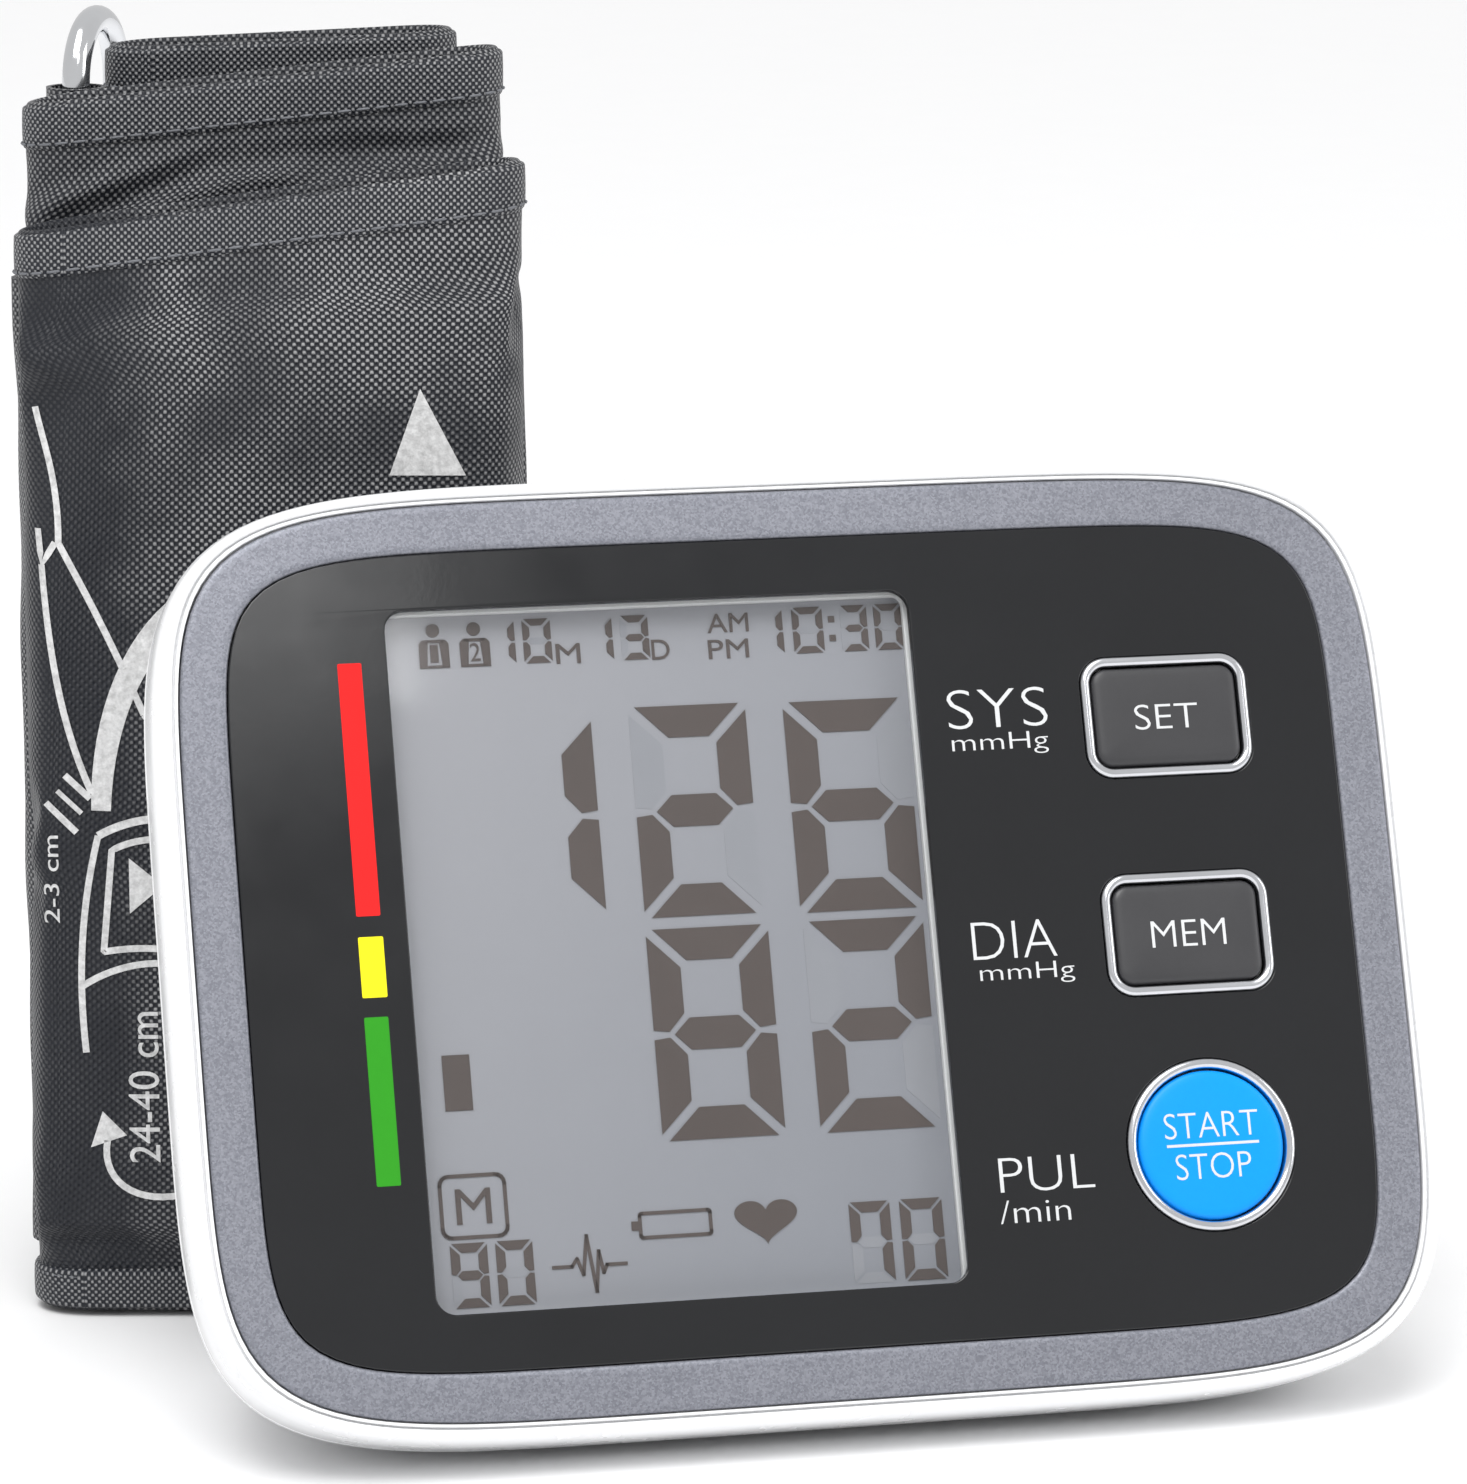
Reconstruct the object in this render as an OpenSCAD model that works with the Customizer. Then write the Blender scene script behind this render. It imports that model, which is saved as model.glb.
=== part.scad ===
// Upper-arm blood pressure monitor with its folded arm cuff.
// The monitor stands on its flat base with its face tilted back. The folded cuff stands
// behind it, to the left. Origin: middle of the whole set, on the surface it stands on.
// +X is to the right of someone facing the display, +Y is away from them, +Z is up.

/* [Monitor case] */
// width of the monitor's face
face_w = 138.6; // [110:0.1:170]
// height of the monitor's face, along its slope
face_h = 104.1; // [85:0.1:130]
// how far the face leans back from upright, in degrees
face_lean = 23; // [10:1:45]
// depth of the white rim band, along the face normal
rim_d = 9; // [6:0.5:14]
// squareness of the case outline (2 is an ellipse)
rim_n = 6; // [4:0.1:9]
// wall thickness of the case
wall = 2; // [1.5:0.1:3]
// how far the back wall stands behind the middle of the face
back_y = 32; // [30:0.5:45]
// half width of the back wall
back_half_w = 60; // [50:0.5:66]
// height of the back wall's top edge
back_top = 84; // [70:0.5:95]
// height of the rubber feet
foot_h = 1; // [0.8:0.1:3]

/* [Front] */
// width of the silver bezel's outer edge
bezel_w = 133; // [105:0.1:165]
// height of the silver bezel's outer edge
bezel_h = 99.6; // [80:0.1:126]
// width of the black panel
panel_w = 122.6; // [95:0.1:155]
// height of the black panel
panel_h = 88.8; // [70:0.1:118]
// thickness of the bezel and panel
panel_t = 1.2; // [0.8:0.1:2]
// width of the display window
win_w = 58; // [40:0.1:80]
// height of the display window
win_h = 76.1; // [50:0.1:90]
// display window's middle, to the left of the face's middle
win_left = 14.55; // [0:0.05:30]

/* [Buttons] */
// width of the SET and MEM trim rings
key_w = 18.9; // [12:0.1:24]
// height of the SET and MEM trim rings
key_h = 13.5; // [9:0.1:18]
// outer radius of the round button's trim ring
start_r = 9.45; // [6:0.05:12]
// column that the buttons stand in, right of the face's middle
key_x = 42.4; // [35:0.1:50]
// heights of the SET, MEM and START buttons above the face's middle
key_y = [22.75, -1.45, -24.85]; // [-40:0.05:40]
// how far a button can be pressed
key_travel = 0.6; // [0.3:0.1:1.5]

/* [Battery bay] */
// radius of a battery cell
cell_r = 7.1; // [5:0.05:7.25]
// length of a battery cell
cell_l = 50.5; // [44:0.1:51]
// spacing between neighbouring cells
cell_pitch = 14.6; // [10.4:0.1:15]
// middle of the bay, to the right of the monitor's middle
bay_x = 14.6; // [0:0.1:20]

/* [Air path] */
// radius of the air socket's bore
socket_r = 2.6; // [1.5:0.05:4]
// depth of the air socket's bore
socket_l = 10; // [6:0.5:14]
// where the socket's mouth is, left of the monitor's middle
socket_x = 63.8; // [55:0.1:67]

/* [Cuff] */
// width of the folded cuff
cuff_w = 56.8; // [45:0.1:80]
// thickness of one folded layer
layer_t = 13.5; // [8:0.5:18]
// gap between two layers
layer_gap = 1; // [0.5:0.1:3]
// how far the cuff is turned from square, in degrees
cuff_turn = -12.6; // [-30:0.1:30]
// height of the front layer's top edge at its left end
front_top = 124; // [90:0.5:160]
// height of the middle layer's top edge at its left end
mid_top = 136.6; // [90:0.1:165]
// height of the back layer's top edge at its left end
back_layer_top = 141.6; // [90:0.1:170]
// radius of the metal bar's wire
bar_wire_r = 1.6; // [1:0.05:2.5]
// spacing between the two long sides of the metal bar
bar_gap = 14; // [9:0.5:25]
// height of the metal bar
bar_h = 146; // [110:0.5:170]

/* [Position] */
// monitor's place in the set, to the right and away from the viewer
monitor_at = [4.25, -34.68]; // [-60:0.1:60]
// folded cuff's place, from the monitor
cuff_from_monitor = [-51.4, 41.3]; // [-120:0.1:120]

/* [Hidden] */
$fn = 64;
eps = 0.01;
fit = 0.05;
base_z = foot_h;
mid_z = base_z + face_h / 2 * cos(face_lean) + rim_d * sin(face_lean) - 0.03;
mid_y = -2.6;
bezel_n = 6.6;
panel_n = 8.5;
plate_t = 2;
plate_back = -(panel_t + plate_t);
board_z = -8.4;
board_t = 1.6;
wx = -win_left;
keys_at = [[key_x, key_y[0]], [key_x, key_y[1]], [key_x + 0.3, key_y[2]]];
sensor_at = [-40, -8.36];
post_at = [[-52, 18], [-52, -36], [45, 36.5], [45, -37]];
low_x = 50;
low_z = 7.5;
low_y = -2;
high_x = 55;
high_z = 75;
high_y = 20;
bay_in_w = 4 * cell_pitch + 0.2;
bay_z0 = 7.2;
plate_c = 0.4;
spring_l = 2.5;
bay_in_h = cell_l + spring_l + 2 * plate_c + 0.4;
cell_y = 22.2;
bay_wall = 1.5;
door_w = bay_in_w + 0.8;
door_z0 = 7.1;
hinge_z = 63.6;
hinge_y = back_y - 1.5;
latch_z = 18.65;
corner_x = 50;
lay_y = [0, layer_t + layer_gap, 2 * (layer_t + layer_gap)];
spine = [20.5, lay_y[2] - 0.4];
bar_at = [-23.7, lay_y[2] + 3];
bar_dir = atan2(13.6, 3.4);

function outline(a, b, n, steps = 96) = [
  for (i = [0 : steps - 1])
    let (t = 360 * i / steps, c = cos(t), s = sin(t))
      [a * sign(c) * pow(abs(c), 2 / n), b * sign(s) * pow(abs(s), 2 / n)]
];

// ---------- placing ----------
module monitor() {
  translate([monitor_at[0], monitor_at[1], 0]) children();
}

// face frame: x right, y up the slope, z out towards the viewer
module face() {
  monitor()
    translate([0, mid_y, mid_z])
      rotate([90 - face_lean, 0, 0])
        children();
}

module cuff() {
  translate([monitor_at[0] + cuff_from_monitor[0], monitor_at[1] + cuff_from_monitor[1], 0])
    rotate([0, 0, cuff_turn])
      children();
}

// ---------- shared shapes ----------
module case_slab(w, h, n, z0, z1) {
  translate([0, 0, z0])
    linear_extrude(z1 - z0)
      polygon(outline(w / 2, h / 2, n));
}

module round_rect(w, h, r) {
  square([w - 2 * r, h], center = true);
  square([w, h - 2 * r], center = true);
  for (x = [-1, 1], y = [-1, 1])
    translate([x * (w / 2 - r), y * (h / 2 - r)])
      circle(r);
}

module slab(w, h, r, z0, z1) {
  translate([0, 0, z0])
    linear_extrude(z1 - z0)
      round_rect(w, h, r);
}

// a round bar along Y
module rod_y(x, y0, y1, z, r) {
  translate([x, y0, z])
    rotate([-90, 0, 0])
      cylinder(h = y1 - y0, r = r);
}

// a round bar along X
module rod_x(x0, x1, y, z, r) {
  translate([x0, y, z])
    rotate([0, 90, 0])
      cylinder(h = x1 - x0, r = r);
}

// a flattened round-ended layer of the folded cuff, seen from above
module layer_plan(x0, x1, t) {
  r = t / 2;
  translate([x0 + r, 0])
    square([x1 - x0 - t, t]);
  translate([x0 + r, r])
    circle(r);
  translate([x1 - r, r])
    circle(r);
}

// cuts off everything above a line that rises from z_left to z_right
module slant_cut(x0, x1, z_left, z_right) {
  a = atan2(z_right - z_left, x1 - x0);
  translate([x0, -20, z_left])
    rotate([0, -a, 0])
      translate([-30, 0, 0])
        cube([x1 - x0 + 80, 120, 60]);
}

module layer_solid(x0, x1, y0, z_left, z_right, drop, z0) {
  difference() {
    translate([0, y0, z0])
      linear_extrude(z_right + 20)
        layer_plan(x0, x1, layer_t);
    slant_cut(x0, x1, z_left - drop, z_right - drop);
  }
}

// ---------- monitor, front ----------
module key_hole(i, grow, z0, z1) {
  translate([keys_at[i][0], keys_at[i][1], 0]) {
    if (i == 2)
      translate([0, 0, z0])
        cylinder(h = z1 - z0, r = start_r + grow);
    else
      slab(key_w + 2 * grow, key_h + 2 * grow, 3 + grow, z0, z1);
  }
}

module front_boss(x, y1, z) {
  difference() {
    monitor()
      rod_y(x, mid_y - 30, y1, z, 2.8);
    face()
      translate([-100, -100, plate_back + 1])
        cube([200, 200, 60]);
  }
}

module front_case() {
  color("white")
    difference() {
      union() {
        face()
          difference() {
            case_slab(face_w, face_h, rim_n, -rim_d, 0);
            case_slab(bezel_w, bezel_h, bezel_n, -panel_t, 1);
            case_slab(face_w - 2 * wall, face_h - 2 * wall, rim_n, -rim_d - 1, plate_back);
            translate([wx, 0, 0])
              slab(win_w + 2, win_h + 2, 1, -panel_t - 1, 1);
            translate([wx, 0, 0])
              slab(win_w - 0.4, win_h - 0.4, 1, plate_back - 1, 0);
            for (i = [0 : 2])
              key_hole(i, -1.1, plate_back - 1, 0);
          }
        face()
          for (p = post_at)
            translate([p[0], p[1], board_z])
              cylinder(h = plate_back - board_z + eps, r = 2.5);
        for (s = [-1, 1]) {
          front_boss(s * low_x, low_y, low_z);
          front_boss(s * high_x, high_y, high_z);
        }
      }
      face()
        for (p = post_at)
          translate([p[0], p[1], board_z - 1])
            cylinder(h = 5, r = 0.9);
      for (s = [-1, 1])
        monitor() {
          rod_y(s * low_x, low_y - 9, low_y + 1, low_z, 1.45);
          rod_y(s * high_x, high_y - 7.5, high_y + 1, high_z, 1.45);
        }
    }
}

module silver_bezel() {
  color("silver")
    face()
      difference() {
        case_slab(bezel_w - 2 * fit, bezel_h - 2 * fit, bezel_n, -panel_t, -0.1);
        case_slab(panel_w, panel_h, panel_n, -panel_t - 1, 1);
      }
}

module front_panel() {
  color("dimgray")
    face()
      difference() {
        case_slab(panel_w - 2 * fit, panel_h - 2 * fit, panel_n, -panel_t, -0.1);
        translate([wx, 0, 0])
          slab(win_w, win_h, 2.2, -panel_t - 1, 1);
        for (i = [0 : 2])
          key_hole(i, fit, -panel_t - 1, 1);
      }
}

module window_lens() {
  color("lightgray", 0.4)
    face()
      translate([wx, 0, 0])
        slab(win_w + 1.8, win_h + 1.8, 0.9, -panel_t - 1, -panel_t);
}

module button_rings() {
  color("gainsboro")
    face()
      for (i = [0 : 2])
        difference() {
          key_hole(i, 0, -panel_t, 0.35);
          key_hole(i, -1.1, -panel_t - 1, 1);
        }
}

module button(i) {
  face() {
    key_hole(i, -1.3, -3.9, 0.2);
    key_hole(i, -0.3, -3.9, plate_back - 0.1);
    translate([keys_at[i][0], keys_at[i][1], -6.2])
      cylinder(h = 2.4, r = 1.6);
  }
}

module set_button() {
  color("dimgray") button(0);
}

module mem_button() {
  color("dimgray") button(1);
}

module start_button() {
  color("deepskyblue") button(2);
}

// ---------- monitor, display and electronics ----------
module lcd_glass() {
  color("darkgray")
    face()
      translate([wx, 0, 0])
        slab(win_w + 2, win_h + 3.9, 0.5, plate_back - 2, plate_back);
}

module backlight() {
  color("whitesmoke")
    face()
      translate([wx, 0, 0])
        slab(56, 71, 0.5, -7.6, plate_back - 2);
}

module contact_strips() {
  color("pink")
    face()
      for (s = [-1, 1])
        translate([wx, s * 37.8, 0])
          slab(55, 2.4, 0.4, board_z, plate_back - 2);
}

module lcd_frame() {
  color("lightslategray")
    face()
      translate([wx, 0, 0])
        difference() {
          slab(win_w + 5, win_h + 6.9, 1, board_z, plate_back);
          slab(win_w + 2.3, win_h + 4.2, 0.6, -7.6, 0);
          for (s = [-1, 1])
            translate([0, s * 37.8, 0])
              slab(55.4, 2.8, 0.5, board_z - 1, 0);
        }
}

module main_board() {
  color("darkgreen")
    face()
      difference() {
        translate([-56, -40, board_z - board_t])
          cube([103.5, 80, board_t]);
        translate([-57, 24, board_z - board_t - 1])
          cube([9.5, 17, 4]);
        for (p = post_at)
          translate([p[0], p[1], board_z - board_t - 1])
            cylinder(h = 4, r = 1.1);
      }
}

module board_screws() {
  color("silver")
    face()
      for (p = post_at)
        translate([p[0], p[1], board_z - board_t]) {
          translate([0, 0, -1.2])
            cylinder(h = 1.2, r = 1.8);
          cylinder(h = 5, r = 0.85);
        }
}

module chips() {
  zb = board_z - board_t;
  color("black")
    face() {
      translate([-8, -14, zb - 1.4])
        cube([12, 12, 1.4]);
      translate([12, -6, zb - 1.5])
        cube([6, 5, 1.5]);
      translate([-24, -22, zb - 1.5])
        cube([7, 5, 1.5]);
      translate([20, -26, zb - 2])
        cube([4, 3, 2]);
      translate([-30, 20, zb - 1.5])
        cube([5, 8, 1.5]);
    }
}

module tact_switches() {
  color("darkslategray")
    face()
      for (p = keys_at)
        translate([p[0], p[1], 0])
          difference() {
            translate([-3, -3, board_z])
              cube([6, 6, 3.5]);
            translate([0, 0, -7.2])
              cylinder(h = 4, r = 1.7);
          }
}

module pressure_sensor() {
  zb = board_z - board_t;
  color("ghostwhite")
    face()
      translate([sensor_at[0], sensor_at[1], 0]) {
        translate([-5, -5, zb - 4])
          cube([10, 10, 4]);
        translate([0, 0, zb - 8])
          cylinder(h = 4.5, r = 1.6);
      }
}

module buzzer() {
  color("black")
    face()
      translate([30, 26, board_z - board_t - 4.5])
        cylinder(h = 4.5, r = 6);
}

// ---------- monitor, pump and air ----------
module pump_motor() {
  color("silver")
    monitor() {
      rod_x(-51.5, -34, 17, 22, 9);
      rod_x(-53.5, -51.5, 17, 22, 3);
    }
}

module pump_head() {
  color("whitesmoke")
    monitor() {
      translate([-34, 8, 13])
        cube([15, 18, 18]);
      translate([-26.5, 17, 30.9])
        cylinder(h = 3, r = 1.6);
    }
}

module pump_cradle() {
  color("dimgray")
    monitor()
      difference() {
        union() {
          rod_x(-45, -36, 17, 22, 11);
          translate([-45, 8, base_z + wall + 0.1])
            cube([9, 18, 16]);
        }
        rod_x(-60, -30, 17, 22, 9);
        translate([-60, 0, 25])
          cube([40, 30, 20]);
      }
}

module exhaust_valve() {
  color("gold")
    monitor() {
      translate([-54, 13, 49])
        cube([18, back_y - wall - 13, 12]);
      rod_x(-36, -31, 17, 54, 1.6);
    }
}

// soft tubes: from the pump head up to the valve, with branches to the socket and sensor
module tube_runs(r, shorter) {
  monitor() {
    translate([-26.5, 17, 31.6])
      cylinder(h = 25 - shorter, r = r);
    rod_x(-35, -26.5, 17, 54, r);
    rod_x(-51.5, -26.5, 17, 35, r);
  }
  face()
    translate([sensor_at[0], sensor_at[1], -24.84])
      cylinder(h = 7.3, r = r);
}

module air_tubes() {
  color("lightyellow")
    difference() {
      tube_runs(2.6, 0);
      tube_runs(1.6 + fit, 1);
      monitor() {
        translate([-26.5, 17, 31])
          cylinder(h = 4, r = 1.6 + fit);
        rod_x(-36, -30, 17, 54, 1.6 + fit);
        rod_x(-53, -50, 17, 35, 1.6 + fit);
      }
      face()
        translate([sensor_at[0], sensor_at[1], -18.5])
          cylinder(h = 2, r = 1.6 + fit);
    }
}

module air_socket() {
  color("gainsboro")
    monitor()
      difference() {
        union() {
          rod_x(-socket_x, -socket_x + socket_l + 2, 17, 35, 5);
          rod_x(-socket_x + socket_l + 1, -48, 17, 35, 1.6);
        }
        rod_x(-socket_x - 1, -socket_x + socket_l, 17, 35, socket_r);
        rod_x(-socket_x + socket_l - 1, -47, 17, 35, 0.9);
      }
}

module power_jack() {
  color("dimgray")
    monitor()
      difference() {
        translate([52, 9, 32.6])
          cube([13.2, 9, 7]);
        translate([56, 10, 34.4])
          cube([12, 7, 3.4]);
      }
}

// ---------- monitor, battery bay ----------
module battery_tray() {
  w = bay_in_w + 2 * bay_wall;
  color("gainsboro")
    monitor()
      difference() {
        translate([bay_x - w / 2, 13.6, bay_z0 - bay_wall])
          cube([w, back_y - wall - 13.6, bay_in_h + 2 * bay_wall]);
        translate([bay_x - bay_in_w / 2, 14.9, bay_z0])
          cube([bay_in_w, 30, bay_in_h]);
        translate([bay_x - w / 2 - 1, 28, bay_z0 + bay_in_h - 0.6])
          cube([w + 2, 30, 10]);
      }
}

module battery_cells() {
  color("orange")
    monitor()
      for (i = [0 : 3]) {
        x = bay_x + (i - 1.5) * cell_pitch;
        up = i % 2;
        z0 = bay_z0 + plate_c + (up == 0 ? spring_l : 0);
        translate([x, cell_y, z0 + (up == 0 ? 0 : 1.3)])
          cylinder(h = cell_l - 1.3, r = cell_r);
        translate([x, cell_y, z0 + (up == 0 ? cell_l - 1.3 - eps : 0)])
          cylinder(h = 1.3 + eps, r = 2.7);
      }
}

module battery_springs() {
  color("silver")
    monitor()
      for (i = [0 : 3]) {
        x = bay_x + (i - 1.5) * cell_pitch;
        up = i % 2;
        z0 = bay_z0 + plate_c + (up == 0 ? 0 : cell_l);
        translate([x, cell_y, z0])
          rotate_extrude()
            polygon(concat(
              [for (k = [0 : 8]) [k % 2 == 0 ? 3.5 : 3, k * spring_l / 8]],
              [for (k = [8 : -1 : 0]) [k % 2 == 0 ? 3 : 2.5, k * spring_l / 8]]));
      }
}

module battery_plates() {
  color("silver")
    monitor()
      for (i = [0 : 3]) {
        x = bay_x + (i - 1.5) * cell_pitch;
        translate([x - 5, cell_y - 5, bay_z0])
          cube([10, 10, plate_c]);
        translate([x - 5, cell_y - 5, bay_z0 + plate_c + cell_l + spring_l])
          cube([10, 10, plate_c]);
      }
}

// ---------- monitor, rear shell ----------
module shell_body(inset) {
  hull() {
    face()
      case_slab(face_w - 2 * inset, face_h - 2 * inset, rim_n,
        -rim_d - 0.5, -rim_d + (inset > 0 ? 0.5 : 0));
    monitor()
      translate([0, back_y - inset, (base_z + back_top) / 2])
        rotate([90, 0, 0])
          linear_extrude(0.5)
            round_rect(2 * back_half_w - 2 * inset, back_top - base_z - 2 * inset,
              14 - inset);
  }
}

module rear_post(x, y0, z) {
  monitor()
    rod_y(x, y0, back_y - 1, z, 3.9);
}

module rear_hole(x, y0, z) {
  monitor() {
    rod_y(x, y0 - 1, back_y + 1, z, 1.6);
    rod_y(x, y0 + 2.5, back_y + 1, z, 3);
  }
}

// the shell is cut into its four side walls and its flat back
module back_zone() {
  monitor()
    translate([-100, back_y - wall, -20])
      cube([200, 40, 160]);
}

module base_cut() {
  monitor()
    translate([-100, -60, -20])
      cube([200, 140, 20 + base_z]);
}

module side_walls() {
  difference() {
    union() {
      difference() {
        shell_body(0);
        shell_body(wall);
        back_zone();
      }
      monitor()
        translate([-66.9, 7, 33.7])
          cube([2.9, 4.5, 2.7]);
    }
    base_cut();
    monitor() {
      // air socket and power jack
      rod_x(-80, -60, 17, 35, 5 + fit);
      translate([60, 9 - fit, 32.6 - fit])
        cube([20, 9 + 2 * fit, 7 + 2 * fit]);
    }
  }
}

// one stretch of the side walls, between x0 and x1 and between z0 and z1
module wall_part(x0, x1, z0, z1) {
  color("white")
    intersection() {
      side_walls();
      monitor()
        translate([x0, -60, z0])
          cube([x1 - x0, 140, z1 - z0]);
    }
}

module rear_left() {
  wall_part(-90, -corner_x, -10, 120);
}

module rear_right() {
  wall_part(corner_x, 90, -10, 120);
}

module rear_top() {
  wall_part(-corner_x, corner_x, 45, 120);
}

module rear_base() {
  wall_part(-corner_x, corner_x, -10, 45);
}

module rear_plate() {
  color("white")
    difference() {
      union() {
        intersection() {
          shell_body(0);
          back_zone();
        }
        intersection() {
          shell_body(wall);
          union() {
            for (s = [-1, 1]) {
              rear_post(s * low_x, low_y, low_z);
              rear_post(s * high_x, high_y, high_z);
            }
          }
        }
        monitor()
          for (x = [bay_x - door_w / 2 - 3.3, bay_x + door_w / 2 + 0.3])
            translate([x, back_y - 3.6, hinge_z - 1.8])
              cube([3, 2.6, 3.8]);
      }
      base_cut();
      monitor() {
        // door opening
        translate([bay_x - door_w / 2 - 0.3, back_y - wall - 0.5, door_z0 - 0.3])
          cube([door_w + 0.6, 10, hinge_z + 1.6 - door_z0 + 0.3]);
        // hinge bores
        rod_x(bay_x - door_w / 2 - 4, bay_x + door_w / 2 + 4, hinge_y, hinge_z, 0.95);
        // sound slots above the door
        for (i = [0 : 4])
          translate([22 + i * 3, back_y - 4, 70])
            cube([1.4, 8, 7]);
      }
      for (s = [-1, 1]) {
        rear_hole(s * low_x, low_y, low_z);
        rear_hole(s * high_x, high_y, high_z);
      }
    }
}

module battery_door() {
  color("white")
    monitor()
      difference() {
        union() {
          translate([bay_x - door_w / 2, back_y - 1.8, door_z0])
            cube([door_w, 1.8, hinge_z - door_z0]);
          rod_x(bay_x - door_w / 2, bay_x + door_w / 2, hinge_y, hinge_z, 1.5);
          rod_x(bay_x - door_w / 2 - 2, bay_x + door_w / 2 + 2, hinge_y, hinge_z, 0.9);
        }
        translate([bay_x - 6, back_y - 5, door_z0 - 1])
          cube([12, 10, latch_z + 0.35 - door_z0 + 1]);
      }
}

module door_latch() {
  color("white")
    monitor() {
      translate([bay_x - 5.65, back_y - 1.6, door_z0])
        cube([11.3, 1.6, latch_z - door_z0]);
      translate([bay_x - 4, back_y - eps, door_z0 + 2.5])
        cube([8, 0.8, 1.4]);
    }
}

module case_screws() {
  color("silver")
    for (s = [-1, 1])
      monitor() {
        rod_y(s * low_x, low_y + 2.5, low_y + 4.5, low_z, 2.7);
        rod_y(s * low_x, low_y - 8, low_y + 2.5 + eps, low_z, 1.4);
        rod_y(s * high_x, high_y + 2.5, high_y + 4.5, high_z, 2.7);
        rod_y(s * high_x, high_y - 7, high_y + 2.5 + eps, high_z, 1.4);
      }
}

module rubber_feet() {
  color("dimgray")
    monitor()
      for (s = [-1, 1], p = [[32, -6], [39, 24]])
        translate([s * p[0], p[1], 0])
          cylinder(h = foot_h, r = 4);
}

module rating_plate() {
  color("lightgray")
    monitor()
      translate([-52, back_y, 26])
        cube([30, 0.3, 34]);
}

// ---------- cuff ----------
front_x = [-cuff_w / 2, cuff_w / 2];
mid_x = [-cuff_w / 2 - 0.3, cuff_w / 2 - 2.9];
back_x = [-20.6, 19.7];

module cuff_front() {
  color("darkslategray")
    cuff()
      difference() {
        layer_solid(front_x[0], front_x[1], lay_y[0], front_top, front_top + 8, 1.2, 1.2);
        translate([-21.3, layer_t / 2 - 2.3, 9.7])
          cube([42.6, 4.6, 100.6]);
      }
}

module cuff_middle() {
  color("darkslategray")
    cuff()
      layer_solid(mid_x[0], mid_x[1], lay_y[1], mid_top, mid_top + 6.4, 1.2, 1.2);
}

module cuff_back() {
  color("darkslategray")
    cuff()
      difference() {
        layer_solid(back_x[0], back_x[1], lay_y[2], back_layer_top, back_layer_top + 2,
          1.2, 1.2);
        translate([-14.3, lay_y[2] + layer_t / 2 - 2.3, 9.7])
          cube([28.6, 4.6, 110.6]);
        translate([4, lay_y[2] + layer_t / 2 + 2, 30])
          rotate([-90, 0, 0])
            cylinder(h = 10, r = 3 + fit);
      }
}

// bound edges: a tape cap along the top and the bottom of each layer
module layer_tapes(x, y0, z_left, z_right) {
  translate([0, y0, 0])
    linear_extrude(1.2)
      layer_plan(x[0], x[1], layer_t);
  intersection() {
    layer_solid(x[0], x[1], y0, z_left, z_right, 0, 1.2);
    slant_cut(x[0], x[1], z_left - 1.2, z_right - 1.2);
  }
}

module front_bindings() {
  color("slategray")
    cuff() {
      layer_tapes(front_x, lay_y[0], front_top, front_top + 8);
      layer_tapes(mid_x, lay_y[1], mid_top, mid_top + 6.4);
    }
}

module back_bindings() {
  color("slategray")
    cuff()
      layer_tapes(back_x, lay_y[2], back_layer_top, back_layer_top + 2);
}

module fold_webs() {
  color("slategray")
    cuff() {
      translate([-22, lay_y[0] + layer_t, 6])
        cube([2, layer_gap, 112]);
      translate([spine[0], spine[1] - 0.25, 6])
        cylinder(h = 128, r = 0.5);
    }
}

module front_bladder() {
  color("saddlebrown")
    cuff()
      translate([-21, layer_t / 2 - 2, 10])
        cube([42, 4, 100]);
}

module back_bladder() {
  color("saddlebrown")
    cuff()
      translate([-14, lay_y[2] + layer_t / 2 - 2, 10])
        cube([28, 4, 110]);
}

module loop_patch() {
  color("black")
    cuff()
      translate([-18, lay_y[1] + layer_t, 12])
        cube([34, 0.5, 112]);
}

module hook_patch() {
  color("black")
    cuff()
      translate([-14, lay_y[2] + layer_t, 44])
        cube([26, 0.8, 82]);
}

// the fabric sleeve that the metal bar turns in
module bar_sleeve() {
  color("darkslategray")
    cuff()
      difference() {
        translate([bar_at[0], bar_at[1], 10])
          cylinder(h = bar_h - bar_gap / 2 - bar_wire_r - 10, r = 3.75);
        translate([bar_at[0], bar_at[1], 0])
          cylinder(h = 200, r = bar_wire_r + fit);
      }
}

// a closed wire loop: two long sides and two half-round ends
module metal_bar() {
  r = bar_gap / 2;
  z0 = 1 + r + bar_wire_r;
  z1 = bar_h - r - bar_wire_r;
  color("silver")
    cuff()
      translate([bar_at[0], bar_at[1], 0])
        rotate([0, 0, bar_dir]) {
          for (x = [0, bar_gap])
            translate([x, 0, z0])
              cylinder(h = z1 - z0, r = bar_wire_r, $fn = 32);
          translate([r, 0, z1])
            rotate([90, 0, 0])
              rotate_extrude(angle = 180)
                translate([r, 0])
                  circle(bar_wire_r, $fn = 32);
          translate([r, 0, z0])
            rotate([90, 0, 0])
              rotate_extrude(angle = -180)
                translate([r, 0])
                  circle(bar_wire_r, $fn = 32);
        }
}

module hose_port() {
  y = lay_y[2] + layer_t;
  color("dimgray")
    cuff()
      difference() {
        union() {
          translate([4, y, 30])
            rotate([-90, 0, 0])
              cylinder(h = 2, r = 7);
          translate([4, y - layer_t / 2 + 2.3, 30])
            rotate([-90, 0, 0])
              cylinder(h = 12.5, r = 3);
        }
        translate([4, y - layer_t / 2, 30])
          rotate([-90, 0, 0])
            cylinder(h = 20, r = 2);
      }
}

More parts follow.
